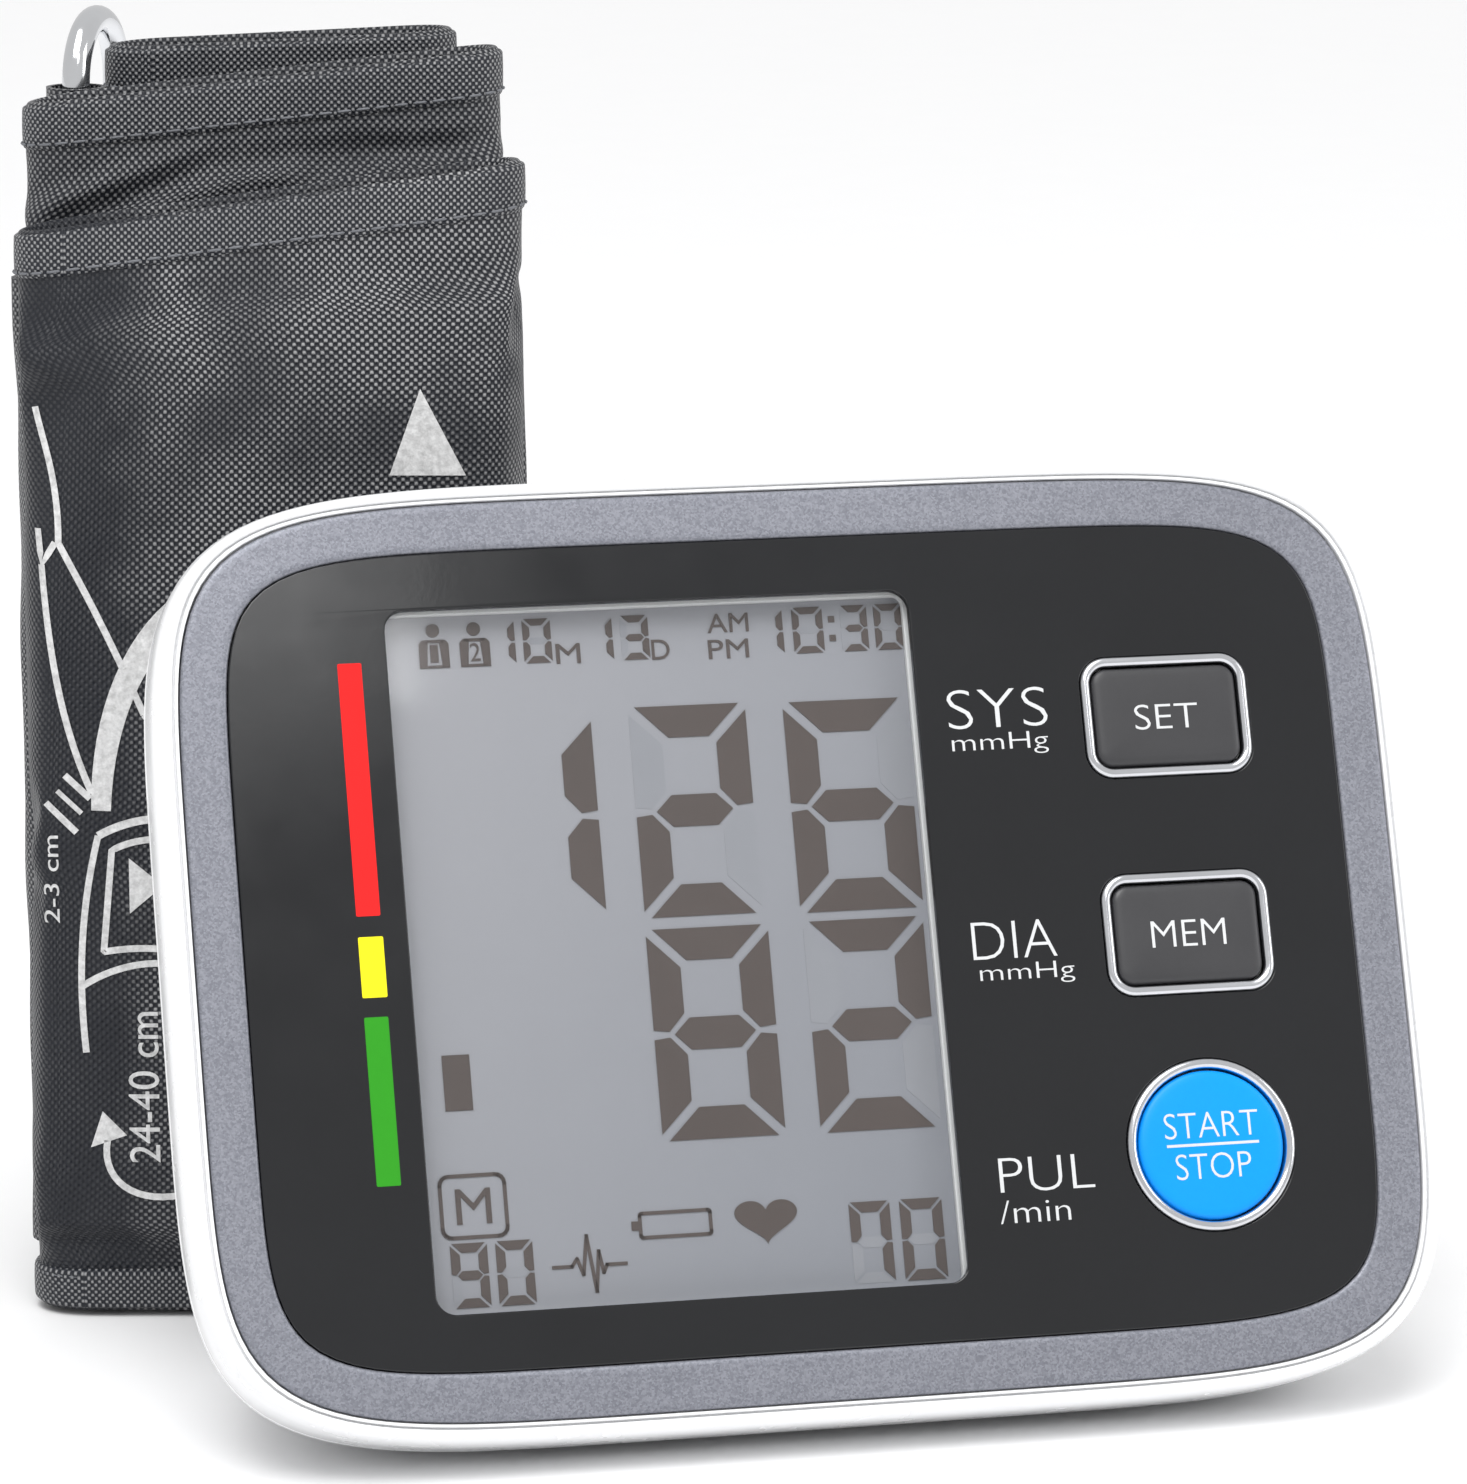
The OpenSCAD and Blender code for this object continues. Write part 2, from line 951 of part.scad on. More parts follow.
front_case();
silver_bezel();
front_panel();
window_lens();
button_rings();
set_button();
mem_button();
start_button();
lcd_glass();
lcd_frame();
backlight();
contact_strips();
main_board();
chips();
tact_switches();
pressure_sensor();
buzzer();
board_screws();
pump_motor();
pump_head();
pump_cradle();
exhaust_valve();
air_tubes();
air_socket();
power_jack();
battery_tray();
battery_cells();
battery_springs();
battery_plates();
rear_left();
rear_right();
rear_top();
rear_base();
rear_plate();
battery_door();
door_latch();
case_screws();
rubber_feet();
rating_plate();
cuff_front();
cuff_middle();
cuff_back();
front_bindings();
back_bindings();
fold_webs();
front_bladder();
back_bladder();
loop_patch();
hook_patch();
bar_sleeve();
metal_bar();
hose_port();
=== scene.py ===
from math import cos, exp, hypot, pi, radians, sin

import bmesh
import bpy
from mathutils import Matrix, Vector, noise
from mathutils.bvhtree import BVHTree


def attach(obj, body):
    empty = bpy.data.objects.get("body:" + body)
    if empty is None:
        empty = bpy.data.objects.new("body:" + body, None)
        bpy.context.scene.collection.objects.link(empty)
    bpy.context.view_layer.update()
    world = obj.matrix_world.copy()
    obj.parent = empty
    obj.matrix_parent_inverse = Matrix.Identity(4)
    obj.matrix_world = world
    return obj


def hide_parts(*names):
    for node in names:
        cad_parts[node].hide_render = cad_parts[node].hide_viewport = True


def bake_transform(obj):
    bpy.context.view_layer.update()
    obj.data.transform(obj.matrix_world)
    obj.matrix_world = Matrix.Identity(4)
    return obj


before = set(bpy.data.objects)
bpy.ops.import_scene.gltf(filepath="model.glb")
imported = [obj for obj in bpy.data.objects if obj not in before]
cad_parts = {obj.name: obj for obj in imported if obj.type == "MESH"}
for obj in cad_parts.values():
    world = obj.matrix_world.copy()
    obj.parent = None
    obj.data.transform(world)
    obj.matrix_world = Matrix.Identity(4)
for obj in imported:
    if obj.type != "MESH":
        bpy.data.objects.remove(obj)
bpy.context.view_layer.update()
scene = bpy.context.scene

# ---------------------------------------------------------------- places
# Pieces are drawn in millimetres in three local frames, as the CAD draws them:
# the monitor's face (x right, y up the slope, z out), the monitor and the cuff.
MM = Matrix.Scale(0.001, 4)
FACE = Matrix.Translation((0.00425, -0.03728, 0.0524)) @ Matrix.Rotation(radians(67), 4, "X") @ MM
MONITOR = Matrix.Translation((0.00425, -0.03468, 0)) @ MM
CUFF_TURN = Matrix.Translation((-0.04715, 0.00662, 0)) @ Matrix.Rotation(radians(-12.6), 4, "Z")
CUFF = CUFF_TURN @ MM
KEYS = {"set": (42.4, 22.75), "mem": (42.4, -1.45), "start": (42.7, -24.85)}
WINDOW_X = -14.55
DOOR_X = 14.6
BACK_MID_Z = 42.5  # the middle height of the monitor's flat back
SLEEVE_X, SLEEVE_Y = -23.7, 32.0  # the metal bar's sleeve, in the cuff's frame


# ---------------------------------------------------------------- camera, world, light
def set_the_camera():
    data = bpy.data.cameras.new("view")
    data.lens = 161.09
    data.sensor_width = 36
    data.clip_end = 10
    cam = bpy.data.objects.new("view", data)
    back = Vector((-0.21340611, -0.95458397, 0.20791169))
    right = Vector((cos(radians(12.6018)), -sin(radians(12.6018)), 0))
    turn = Matrix((right, back.cross(right), back)).transposed().to_4x4()
    cam.matrix_world = Matrix.Translation((-0.15555, -0.71488, 0.2221)) @ turn
    scene.collection.objects.link(cam)
    scene.camera = cam


def light(name, where, aim, size, power):
    data = bpy.data.lights.new(name, "AREA")
    data.shape = "RECTANGLE"
    data.size, data.size_y = size
    data.energy = power
    lamp = bpy.data.objects.new(name, data)
    lamp.location = where
    lamp.rotation_euler = (Vector(aim) - Vector(where)).to_track_quat("-Z", "Y").to_euler()
    scene.collection.objects.link(lamp)


def sun(name, toward, power, spread):
    data = bpy.data.lights.new(name, "SUN")
    data.energy = power
    data.angle = radians(spread)
    lamp = bpy.data.objects.new(name, data)
    lamp.rotation_euler = Vector(toward).to_track_quat("Z", "Y").to_euler()
    scene.collection.objects.link(lamp)


set_the_camera()
scene.view_settings.view_transform = "Standard"
world = bpy.data.worlds.new("studio")
world.use_nodes = True
world.node_tree.nodes["Background"].inputs["Color"].default_value = (1, 1, 1, 1)
world.node_tree.nodes["Background"].inputs["Strength"].default_value = 0.7
scene.world = world
light("key", (-0.25, -0.6, 1.1), (0, 0, 0.05), (0.6, 0.6), 5)
light("side", (0.9, -0.5, 0.5), (0, 0, 0.06), (0.4, 0.6), 2.2)
light("gleam", (0.02, -0.84, 0.77), (-0.05, -0.02, 0.087), (0.24, 0.24), 0.55)
sun("sky", (-0.25, -0.35, 1.0), 1.35, 40)


# ---------------------------------------------------------------- materials
class Look:
    """A node material: each call adds one node and returns its output."""

    def __init__(self, name):
        self.material = bpy.data.materials.new(name)
        self.material.use_nodes = True
        self.tree = self.material.node_tree
        self.shader = self.tree.nodes["Principled BSDF"]
        self.coords = self.tree.nodes.new("ShaderNodeTexCoord")

    def feed(self, socket, value):
        if isinstance(value, bpy.types.NodeSocket):
            self.tree.links.new(value, socket)
        elif hasattr(value, "__len__") and len(value) == 3 and socket.type == "RGBA":
            socket.default_value = (*value, 1)
        else:
            socket.default_value = value

    def node(self, kind, out=0, options=(), **inputs):
        made = self.tree.nodes.new("ShaderNode" + kind)
        for key, value in dict(options).items():
            setattr(made, key, value)
        for key, value in inputs.items():
            key = key.replace("_", " ")
            socket = made.inputs[int(key[1:])] if key[0] == "i" and key[1:].isdigit() else made.inputs[key]
            self.feed(socket, value)
        return made.outputs[out]

    def set(self, **inputs):
        for key, value in inputs.items():
            self.feed(self.shader.inputs[key.replace("_", " ")], value)

    def noise(self, scale, detail=3):
        return self.node("TexNoise", "Fac", Vector=self.coords.outputs["Object"], Scale=scale, Detail=detail)

    def math(self, operation, a, b=0.0):
        return self.node("Math", 0, {"operation": operation}, i0=a, i1=b)

    def between(self, factor, low, high, start=0.0, end=1.0):
        return self.node(
            "MapRange", Value=factor, From_Min=start, From_Max=end, To_Min=low, To_Max=high,
        )

    def smudged(self, scale, low, high, detail=4):
        """A value that wanders between two others in patches."""
        return self.between(self.noise(scale, detail), low, high, 0.3, 0.7)

    def jitter(self, scale, amount, detail=2):
        """Noise about zero."""
        return self.math("MULTIPLY", self.math("SUBTRACT", self.noise(scale, detail), 0.5), amount)

    def mix(self, factor, a, b):
        made = self.tree.nodes.new("ShaderNodeMix")
        made.data_type = "RGBA"
        self.feed(made.inputs[0], factor)
        self.feed(made.inputs[6], a)
        self.feed(made.inputs[7], b)
        return made.outputs[2]

    def bump(self, height, strength, distance=0.0001):
        return self.node("Bump", Strength=strength, Distance=distance, Height=height)


def shade(color, factor):
    return tuple(min(1, c * factor) for c in color)


def surface(name, color, rough, spread=0.05, rough_spread=0.06, grain=900, bump=0.05, patch=60, **more):
    """A moulded, painted or metal finish: patchy colour, smudged gloss, fine grain."""
    look = Look(name)
    patches = look.noise(patch, 4)
    specks = look.noise(grain, 2)
    blend = look.math("ADD", look.math("MULTIPLY", patches, 0.7), look.math("MULTIPLY", specks, 0.3))
    look.set(
        Base_Color=look.mix(
            look.between(blend, 0, 1, 0.3, 0.7), shade(color, 1 - spread), shade(color, 1 + spread),
        ),
        Roughness=look.smudged(patch * 2.2, rough - rough_spread, rough + rough_spread, 5),
        Normal=look.bump(specks, bump),
        **more,
    )
    return look


def sparkle(name):
    """Silver paint with fine flakes."""
    look = Look(name)
    flakes = look.node("TexVoronoi", 1, Vector=look.coords.outputs["Object"], Scale=4800)
    tone = look.node("SeparateColor", Color=flakes)
    tone = look.math("ADD", look.math("MULTIPLY", tone, 0.75), look.math("MULTIPLY", look.noise(70, 4), 0.25))
    look.set(
        Base_Color=look.mix(
            look.between(tone, 0, 1, 0.15, 0.85), (0.167, 0.173, 0.203), (0.262, 0.27, 0.307),
        ),
        Roughness=look.smudged(160, 0.34, 0.46),
        Normal=look.bump(tone, 0.25, 0.00006),
        Metallic=0.35,
        Specular_IOR_Level=0.4,
    )
    return look


def fabric(name, dark, sheen_color, pitch=0.0009, rough=0.5, depth=0.5, sheen_zones=None, sheen_clouds=(0.55, 0.85, 0.3, 0.7)):
    """A plain weave laid out by UV, whose UV units are metres of cloth; its raised threads are given a bright
    colour, a painted sheen.
    The zones are the four places, along the cloth, between which this painted sheen fades in and out;
    the clouds are the least and most of the painted sheen, and the noise values they come at."""
    look = Look(name)
    uv = look.node("SeparateXYZ", Vector=look.coords.outputs["UV"]).node
    warp = look.math("SINE", look.math("MULTIPLY", uv.outputs[0], 2 * pi / pitch))
    weft = look.math("SINE", look.math("MULTIPLY", uv.outputs[1], 2 * pi / pitch))
    fuzz = look.jitter(2600, 0.8)
    thread = look.math("ADD", look.math("MULTIPLY", warp, weft), fuzz)
    # painted sheen: the raised threads of the weave take the bright colour
    lit = look.between(thread, 0, 1, 0.0, 0.75)
    # painted sheen comes in patches, and where zones are given it fades out between them along the cloth
    patches = look.between(look.noise(75, 5), *sheen_clouds)
    if sheen_zones:
        sheen_edge_noise = look.jitter(110, 0.014, 4)
        sheen_edge_u = look.math("ADD", uv.outputs[0], sheen_edge_noise)
        for low, high, start, end in ((0.1, 1, sheen_zones[0], sheen_zones[1]), (1, 0.1, sheen_zones[2], sheen_zones[3])):
            patches = look.math("MULTIPLY", patches, look.between(sheen_edge_u, low, high, start, end))
    look.set(
        Base_Color=look.mix(look.math("MULTIPLY", lit, patches), dark, sheen_color),
        Roughness=look.smudged(90, rough - 0.08, rough + 0.08),
        Normal=look.bump(thread, depth, 0.00022),
        Specular_IOR_Level=0.35,
        Sheen_Weight=0.12,
        Sheen_Roughness=0.35,
    )
    return look


WHITE = surface(
    "white_case", (0.86, 0.865, 0.875), 0.27, 0.01, 0.02, 1400, 0.012,
    Coat_Weight=0.15, Coat_Roughness=0.1,
)
INNER = surface("white_inner", (0.74, 0.74, 0.73), 0.5, 0.04, 0.08, 700, 0.1)
BLACK = surface("black_panel", (0.0075, 0.008, 0.0095), 0.12, 0.12, 0.03, 1600, 0.015)
SILVER = sparkle("silver_trim")
CHROME = surface("ring_chrome", (0.66, 0.67, 0.7), 0.17, 0.04, 0.05, 900, 0.03, Metallic=1.0)
BAR = surface("bar_chrome", (0.72, 0.73, 0.75), 0.1, 0.04, 0.05, 500, 0.03, patch=200, Metallic=1.0)
KEY_GREY = surface("key_grey", (0.036, 0.036, 0.039), 0.4, 0.08, 0.06, 1800, 0.06)
KEY_BLUE = surface("key_blue", (0.0, 0.29, 0.93), 0.38, 0.04, 0.05, 1500, 0.03, Specular_IOR_Level=0.25)
FRAME = surface("frame_grey", (0.1, 0.105, 0.115), 0.6, 0.08, 0.06, 900, 0.15)
DIFFUSER = surface("diffuser", (0.8, 0.8, 0.77), 0.7, 0.03, 0.06, 900, 0.1)
ELASTOMER = surface("elastomer", (0.45, 0.16, 0.2), 0.75, 0.12, 0.06, 1200, 0.2)
CIRCUIT = surface("circuit", (0.01, 0.12, 0.05), 0.35, 0.25, 0.06, 500, 0.2, patch=300)
CHIP = surface("chip_black", (0.016, 0.016, 0.017), 0.5, 0.2, 0.06, 1500, 0.25)
STEEL = surface("steel", (0.5, 0.5, 0.51), 0.33, 0.08, 0.1, 900, 0.08, Metallic=1.0)
RUBBER = surface("dark_rubber", (0.02, 0.02, 0.021), 0.75, 0.15, 0.06, 1300, 0.3)
TUBE = surface("tube_clear", (0.6, 0.57, 0.45), 0.35, 0.08, 0.08, 300, 0.05)
BRASS = surface("brass_yellow", (0.6, 0.42, 0.16), 0.32, 0.08, 0.08, 800, 0.08, Metallic=1.0)
FILM = surface("bladder_film", (0.12, 0.1, 0.075), 0.6, 0.15, 0.08, 400, 0.2)
PLATE = surface("label_film", (0.55, 0.56, 0.57), 0.4, 0.03, 0.06, 900, 0.03)
PRINT = surface("white_print", (0.62, 0.63, 0.64), 0.5, 0.05, 0.06, 2500, 0.05)
CUFF_PRINT = surface("cuff_print", (0.6, 0.6, 0.6), 0.7, 0.3, 0.06, 3500, 0.5, patch=1300)
RED = surface("red_print", (0.86, 0.012, 0.012), 0.5, 0.04, 0.05, 1800, 0.03, Specular_IOR_Level=0.2)
YELLOW = surface("yellow_print", (0.9, 0.8, 0.01), 0.5, 0.04, 0.05, 1800, 0.03, Specular_IOR_Level=0.2)
GREEN = surface("green_print", (0.025, 0.29, 0.01), 0.5, 0.04, 0.05, 1800, 0.03, Specular_IOR_Level=0.2)
INK = surface("lcd_ink", (0.07, 0.052, 0.046), 0.35, 0.06, 0.05, 1500, 0.02)
GHOST = surface("lcd_ghost", (0.262, 0.267, 0.287), 0.35, 0.03, 0.05, 1500, 0.02)
# the cuff's cloth: dark navy, with painted sheen on the raised threads; on the front layer the painted sheen
# is kept off the cloth around its left end
NYLON = fabric("cuff_nylon", (0.006, 0.0075, 0.0125), (0.34, 0.34, 0.345))
NYLON_FRONT = fabric(
    "cuff_nylon_front", (0.006, 0.0075, 0.0125), (0.34, 0.34, 0.345),
    sheen_zones=(0.006, 0.013, 0.097, 0.105), sheen_clouds=(0.35, 1.15, 0.38, 0.6),
)
# the binding tape's raised threads carry painted sheen as well
TAPE = fabric("binding_tape", (0.008, 0.01, 0.016), (0.4, 0.4, 0.405), pitch=0.0008, depth=0.55)
THREAD = surface("sewing_thread", (0.14, 0.145, 0.16), 0.6, 0.2, 0.06, 4000, 0.5)
PILE = surface("hook_pile", (0.011, 0.011, 0.012), 0.85, 0.5, 0.06, 2400, 1.0, patch=900, Sheen_Weight=0.4)


def display_look():
    look = Look("display")
    place = look.node("SeparateXYZ", Vector=look.coords.outputs["Object"]).node
    # painted light: the display is coloured lightest at its top left and darker towards its right and its
    # bottom
    across = look.between(place.outputs[0], 0, 0.5, -0.04, 0.02)
    down = look.between(place.outputs[2], 0.5, 0, 0.01, 0.09)
    tone = look.math("ADD", across, down)
    grain = look.jitter(3000, 0.12)
    look.set(
        Base_Color=look.mix(look.math("ADD", tone, grain), (0.33, 0.328, 0.346), (0.216, 0.225, 0.25)),
        Roughness=look.smudged(120, 0.3, 0.42),
        Normal=look.bump(look.noise(2500, 2), 0.02),
        Coat_Weight=0.2,
    )
    return look


def lens_look():
    """Thin clear plastic: light passes straight through, with gloss on top."""
    look = Look("clear_window")
    clear = look.node("BsdfTransparent", Color=(0.965, 0.97, 0.975))
    gloss = look.node("BsdfGlossy", Color=(1, 1, 1), Roughness=look.smudged(90, 0.03, 0.07))
    facing = look.node("LayerWeight", 1, Blend=0.5)
    edge = look.math("ADD", look.math("MULTIPLY", look.math("POWER", facing, 5.0), 0.5), 0.022)
    both = look.node("MixShader", i0=edge, i1=clear, i2=gloss)
    out = look.tree.nodes["Material Output"]
    look.tree.links.new(both, out.inputs["Surface"])
    look.tree.nodes.remove(look.shader)
    return look


def cell_look():
    """A battery's sleeve: dark, with a lighter band near one end."""
    look = Look("cell_wrap")
    height = look.node("SeparateXYZ", Vector=look.coords.outputs["Object"]).node.outputs[2]
    band = look.math("GREATER_THAN", height, 0.044)
    body = look.mix(look.noise(300, 3), (0.01, 0.03, 0.1), (0.015, 0.045, 0.14))
    look.set(
        Base_Color=look.mix(band, body, (0.42, 0.36, 0.22)),
        Roughness=look.smudged(200, 0.2, 0.34),
        Metallic=0.4,
        Normal=look.bump(look.noise(900, 2), 0.05),
    )
    return look


DISPLAY = display_look()
LENS = lens_look()
CELL = cell_look()


# ---------------------------------------------------------------- mesh tools
def finish_piece(ob, look, body, hides=()):
    """Gives a piece its material and body; hides are the CAD nodes that it stands for."""
    ob.data.materials.clear()
    ob.data.materials.append(look.material)
    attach(ob, body)
    if hides:
        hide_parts(*hides)
    return ob


def smooth(mesh, sharp=32):
    mesh.polygons.foreach_set("use_smooth", [True] * len(mesh.polygons))
    mesh.set_sharp_from_angle(angle=radians(sharp))


def add_object(name, mesh):
    ob = bpy.data.objects.new(name, mesh)
    scene.collection.objects.link(ob)
    return ob


def mend(mesh, merge=0.0, outward=True):
    """Merges points closer than merge, in metres, and turns the faces outward."""
    work = bmesh.new()
    work.from_mesh(mesh)
    if merge:
        bmesh.ops.remove_doubles(work, verts=work.verts, dist=merge)
    if outward:
        bmesh.ops.recalc_face_normals(work, faces=work.faces)
    work.to_mesh(mesh)
    work.free()


def solid(name, verts, faces, place, sharp=32, uvs=None):
    mesh = bpy.data.meshes.new(name)
    mesh.from_pydata([tuple(v) for v in verts], [], faces)
    mesh.transform(place)
    if uvs:
        layer = mesh.uv_layers.new(name="cloth")
        layer.data.foreach_set("uv", [c for face in uvs for uv in face for c in uv])
    mend(mesh, 1e-7)
    smooth(mesh, sharp)
    return add_object(name, mesh)


def modify(ob, name, kind, **settings):
    made = ob.modifiers.new(name, kind)
    for key, value in settings.items():
        setattr(made, key, value)
    return made


def weighted(ob):
    modify(ob, "even_shading", "WEIGHTED_NORMAL", keep_sharp=True)
    return ob


def circle(x, y, r, n):
    """Points round a circle, counter-clockwise."""
    return [(x + r * cos(2 * pi * i / n), y + r * sin(2 * pi * i / n)) for i in range(n)]


def egg(a, b, n, z, steps=300):
    """A superellipse, sampled evenly by angle."""
    ring = []
    for i in range(steps):
        c, s = cos(2 * pi * i / steps), sin(2 * pi * i / steps)
        r = (abs(c / a) ** n + abs(s / b) ** n) ** (-1 / n)
        ring.append((r * c, r * s, z))
    return ring


def round_box(w, h, r, z, at=(0, 0), steps=10):
    """A rounded rectangle, counter-clockwise; r may equal half of w and h."""
    r = max(r, 0.01)
    ring = []
    for k, (sx, sy) in enumerate(((1, 1), (-1, 1), (-1, -1), (1, -1))):
        for i in range(steps + 1):
            t = pi / 2 * (k + i / steps)
            ring.append((at[0] + sx * (w / 2 - r) + r * cos(t), at[1] + sy * (h / 2 - r) + r * sin(t), z))
    return ring


def loft(rings, closed=False, ends=True):
    """Points and faces of a skin over rings of equal length; closed joins the last to the first."""
    n = len(rings[0])
    verts = [p for ring in rings for p in ring]
    count = len(rings)
    faces = []
    for i in range(count if closed else count - 1):
        a, b = i * n, (i + 1) % count * n
        faces += [(a + j, a + (j + 1) % n, b + (j + 1) % n, b + j) for j in range(n)]
    if ends and not closed:
        faces.append(tuple(range(n))[::-1])
        faces.append(tuple(range((count - 1) * n, count * n)))
    return verts, faces


def prisms(shapes, z0, z1):
    """Flat outlines given a thickness."""
    verts, faces = [], []
    for shape in shapes:
        n, a = len(shape), len(verts)
        verts += [(x, y, z0) for x, y in shape] + [(x, y, z1) for x, y in shape]
        faces += [tuple(a + i for i in range(n))[::-1], tuple(a + n + i for i in range(n))]
        faces += [(a + i, a + (i + 1) % n, a + n + (i + 1) % n, a + n + i) for i in range(n)]
    return verts, faces


def flat(ring):
    return [(p[0], p[1]) for p in ring]


def shown_mesh(ob):
    """A new mesh of the object as its modifiers or curve settings show it."""
    return bpy.data.meshes.new_from_object(ob.evaluated_get(bpy.context.evaluated_depsgraph_get()))


def curve_mesh(name, curve, place):
    temp = bpy.data.objects.new("temp", curve)
    scene.collection.objects.link(temp)
    mesh = shown_mesh(temp)
    bpy.data.objects.remove(temp)
    bpy.data.curves.remove(curve)
    mesh.name = name
    mesh.transform(place)
    return mesh


def plate(name, outlines, z0, z1, bevel, place):
    """A flat plate with holes and softened edges."""
    curve = bpy.data.curves.new("temp", "CURVE")
    curve.dimensions = "2D"
    curve.fill_mode = "BOTH"
    for ring in outlines:
        line = curve.splines.new("POLY")
        line.points.add(len(ring) - 1)
        line.use_cyclic_u = True
        for point, p in zip(line.points, ring):
            point.co = (p[0], p[1], 0, 1)
    curve.extrude = (z1 - z0) / 2 - bevel
    curve.bevel_depth = bevel
    curve.bevel_resolution = 2
    curve.offset = -bevel
    mesh = curve_mesh(name, curve, place @ Matrix.Translation((0, 0, (z0 + z1) / 2)))
    mend(mesh, 2e-6, outward=False)
    smooth(mesh, 40)
    return weighted(add_object(name, mesh))


def word_mesh(text, box, z0, z1, place, thin=0.0, turn=0.0):
    """Lettering stretched to fill box = (x0, y0, x1, y1)."""
    curve = bpy.data.curves.new("temp", "FONT")
    curve.body = text
    curve.offset = -thin
    curve.resolution_u = 4
    curve.extrude = 0.5
    mesh = curve_mesh("word", curve, Matrix.Rotation(turn, 4, "Z"))
    low = [min(v.co[i] for v in mesh.vertices) for i in range(2)]
    high = [max(v.co[i] for v in mesh.vertices) for i in range(2)]
    for v in mesh.vertices:
        u = (v.co[0] - low[0]) / (high[0] - low[0])
        w = (v.co[1] - low[1]) / (high[1] - low[1])
        v.co = (box[0] + u * (box[2] - box[0]), box[1] + w * (box[3] - box[1]), z1 if v.co[2] > 0 else z0)
    mesh.transform(place)
    return mesh


def join(name, meshes):
    work = bmesh.new()
    for mesh in meshes:
        work.from_mesh(mesh)
    bmesh.ops.remove_doubles(work, verts=work.verts, dist=1e-7)
    mesh = bpy.data.meshes.new(name)
    work.to_mesh(mesh)
    work.free()
    smooth(mesh, 30)
    return add_object(name, mesh)


def cut_out(ob, rings):
    """Takes a lofted shape away from a piece in the monitor's frame."""
    cutter = solid("cutter", *loft(rings), MONITOR)
    modify(ob, "opening", "BOOLEAN", object=cutter, solver="EXACT")
    mesh = shown_mesh(ob)
    ob.modifiers.clear()
    mesh.name = ob.data.name
    ob.data = mesh
    bpy.data.objects.remove(cutter)


def keep_node(node, look, bevel=0.0):
    """A CAD node that stays, with a better finish and softened edges."""
    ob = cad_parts[node]
    ob.data.materials.clear()
    ob.data.materials.append(look.material)
    if bevel:
        modify(
            ob, "soft_edges", "BEVEL", width=bevel * 0.001, segments=2,
            limit_method="ANGLE", angle_limit=radians(50), use_clamp_overlap=True,
        )
    weighted(ob)


# ---------------------------------------------------------------- monitor front
# Heights of the prints, from and to, above the face
CAP_PRINT = (0.16, 0.23)
PANEL_PRINT = (-0.13, -0.05)
DISPLAY_INK = (-3.2, -3.08)
DISPLAY_GHOST = (-3.2, -3.16)


def face_holes(window, key, start, steps=10):
    """Outlines of the window and the three keys; each size is width, height, radius."""
    holes = [round_box(*window, 0, (WINDOW_X, 0))]
    holes += [round_box(*key, 0, KEYS[k]) for k in ("set", "mem")]
    return holes + [round_box(*start, 0, KEYS["start"], steps)]


def case_front():
    rim = [
        (66.62, 49.92, 6.6, -1.25), (66.62, 49.92, 6.6, -0.5), (66.68, 49.98, 6.6, -0.3),
        (66.85, 50.12, 6.6, -0.24), (67.0, 50.24, 6.6, -0.34), (67.06, 50.29, 6.5, -0.95),
        (67.3, 50.47, 6.5, -0.95), (67.36, 50.52, 6.5, -0.3), (67.6, 50.7, 6.4, -0.1),
        (68.05, 51.05, 6.3, 0), (68.4, 51.33, 6.2, -0.16), (68.75, 51.62, 6.1, -0.6),
        (69.02, 51.84, 6, -1.25), (69.18, 51.97, 6, -2.1), (69.27, 52.03, 6, -3.2),
        (69.3, 52.06, 6, -4.6), (69.3, 52.06, 6, -8.4),
        (69.22, 52.0, 6, -8.75), (68.95, 51.75, 6, -8.98), (67.3, 50.06, 6, -9),
        (67.3, 50.06, 6, -3.2), (66.6, 49.4, 6.3, -3.2), (66.55, 49.35, 6.6, -1.6),
    ]
    verts, faces = loft([egg(*r) for r in rim], closed=True)
    ob = solid("case_rim", verts, faces, FACE, 40)
    finish_piece(ob, WHITE, "monitor", ["front_case"])
    holes = face_holes((57.6, 75.7, 1), (16.7, 11.3, 1.9), (16.7, 16.7, 8.34))
    floor = plate("case_floor", [egg(66.4, 49.3, 6.5, 0, 200)] + holes, -3.2, -2.25, 0.15, FACE)
    finish_piece(floor, INNER, "monitor")


def face_trim():
    rings = [
        (66.45, 49.75, 6.6, -1.2), (66.45, 49.75, 6.6, -0.55), (66.38, 49.68, 6.6, -0.36),
        (66.15, 49.45, 6.6, -0.27), (65.6, 48.9, 6.7, -0.25), (64.4, 47.7, 7.0, -0.2),
        (62.8, 46.0, 7.8, -0.14), (61.95, 45.05, 8.3, -0.1), (61.6, 44.7, 8.4, -0.12),
        (61.38, 44.48, 8.5, -0.26), (61.32, 44.42, 8.5, -0.5), (61.32, 44.42, 8.5, -1.2),
    ]
    verts, faces = loft([egg(*r) for r in rings], closed=True)
    finish_piece(solid("bezel", verts, faces, FACE, 50), SILVER, "monitor", ["silver_bezel"])
    holes = face_holes((58, 76.1, 2.2), (19, 13.6, 3.05), (19, 19, 9.49), 16)
    panel = plate("panel", [egg(61.25, 44.35, 8.5, 0, 240)] + holes, -1.2, -0.1, 0.18, FACE)
    finish_piece(panel, BLACK, "monitor", ["front_panel"])


def key_outline(key, grow, z):
    if key == "start":
        return round_box(2 * (9.45 + grow), 2 * (9.45 + grow), 9.45 + grow - 0.001, z, KEYS[key], 16)
    return round_box(18.9 + 2 * grow, 13.5 + 2 * grow, max(3 + grow, 0.3), z, KEYS[key], 10)


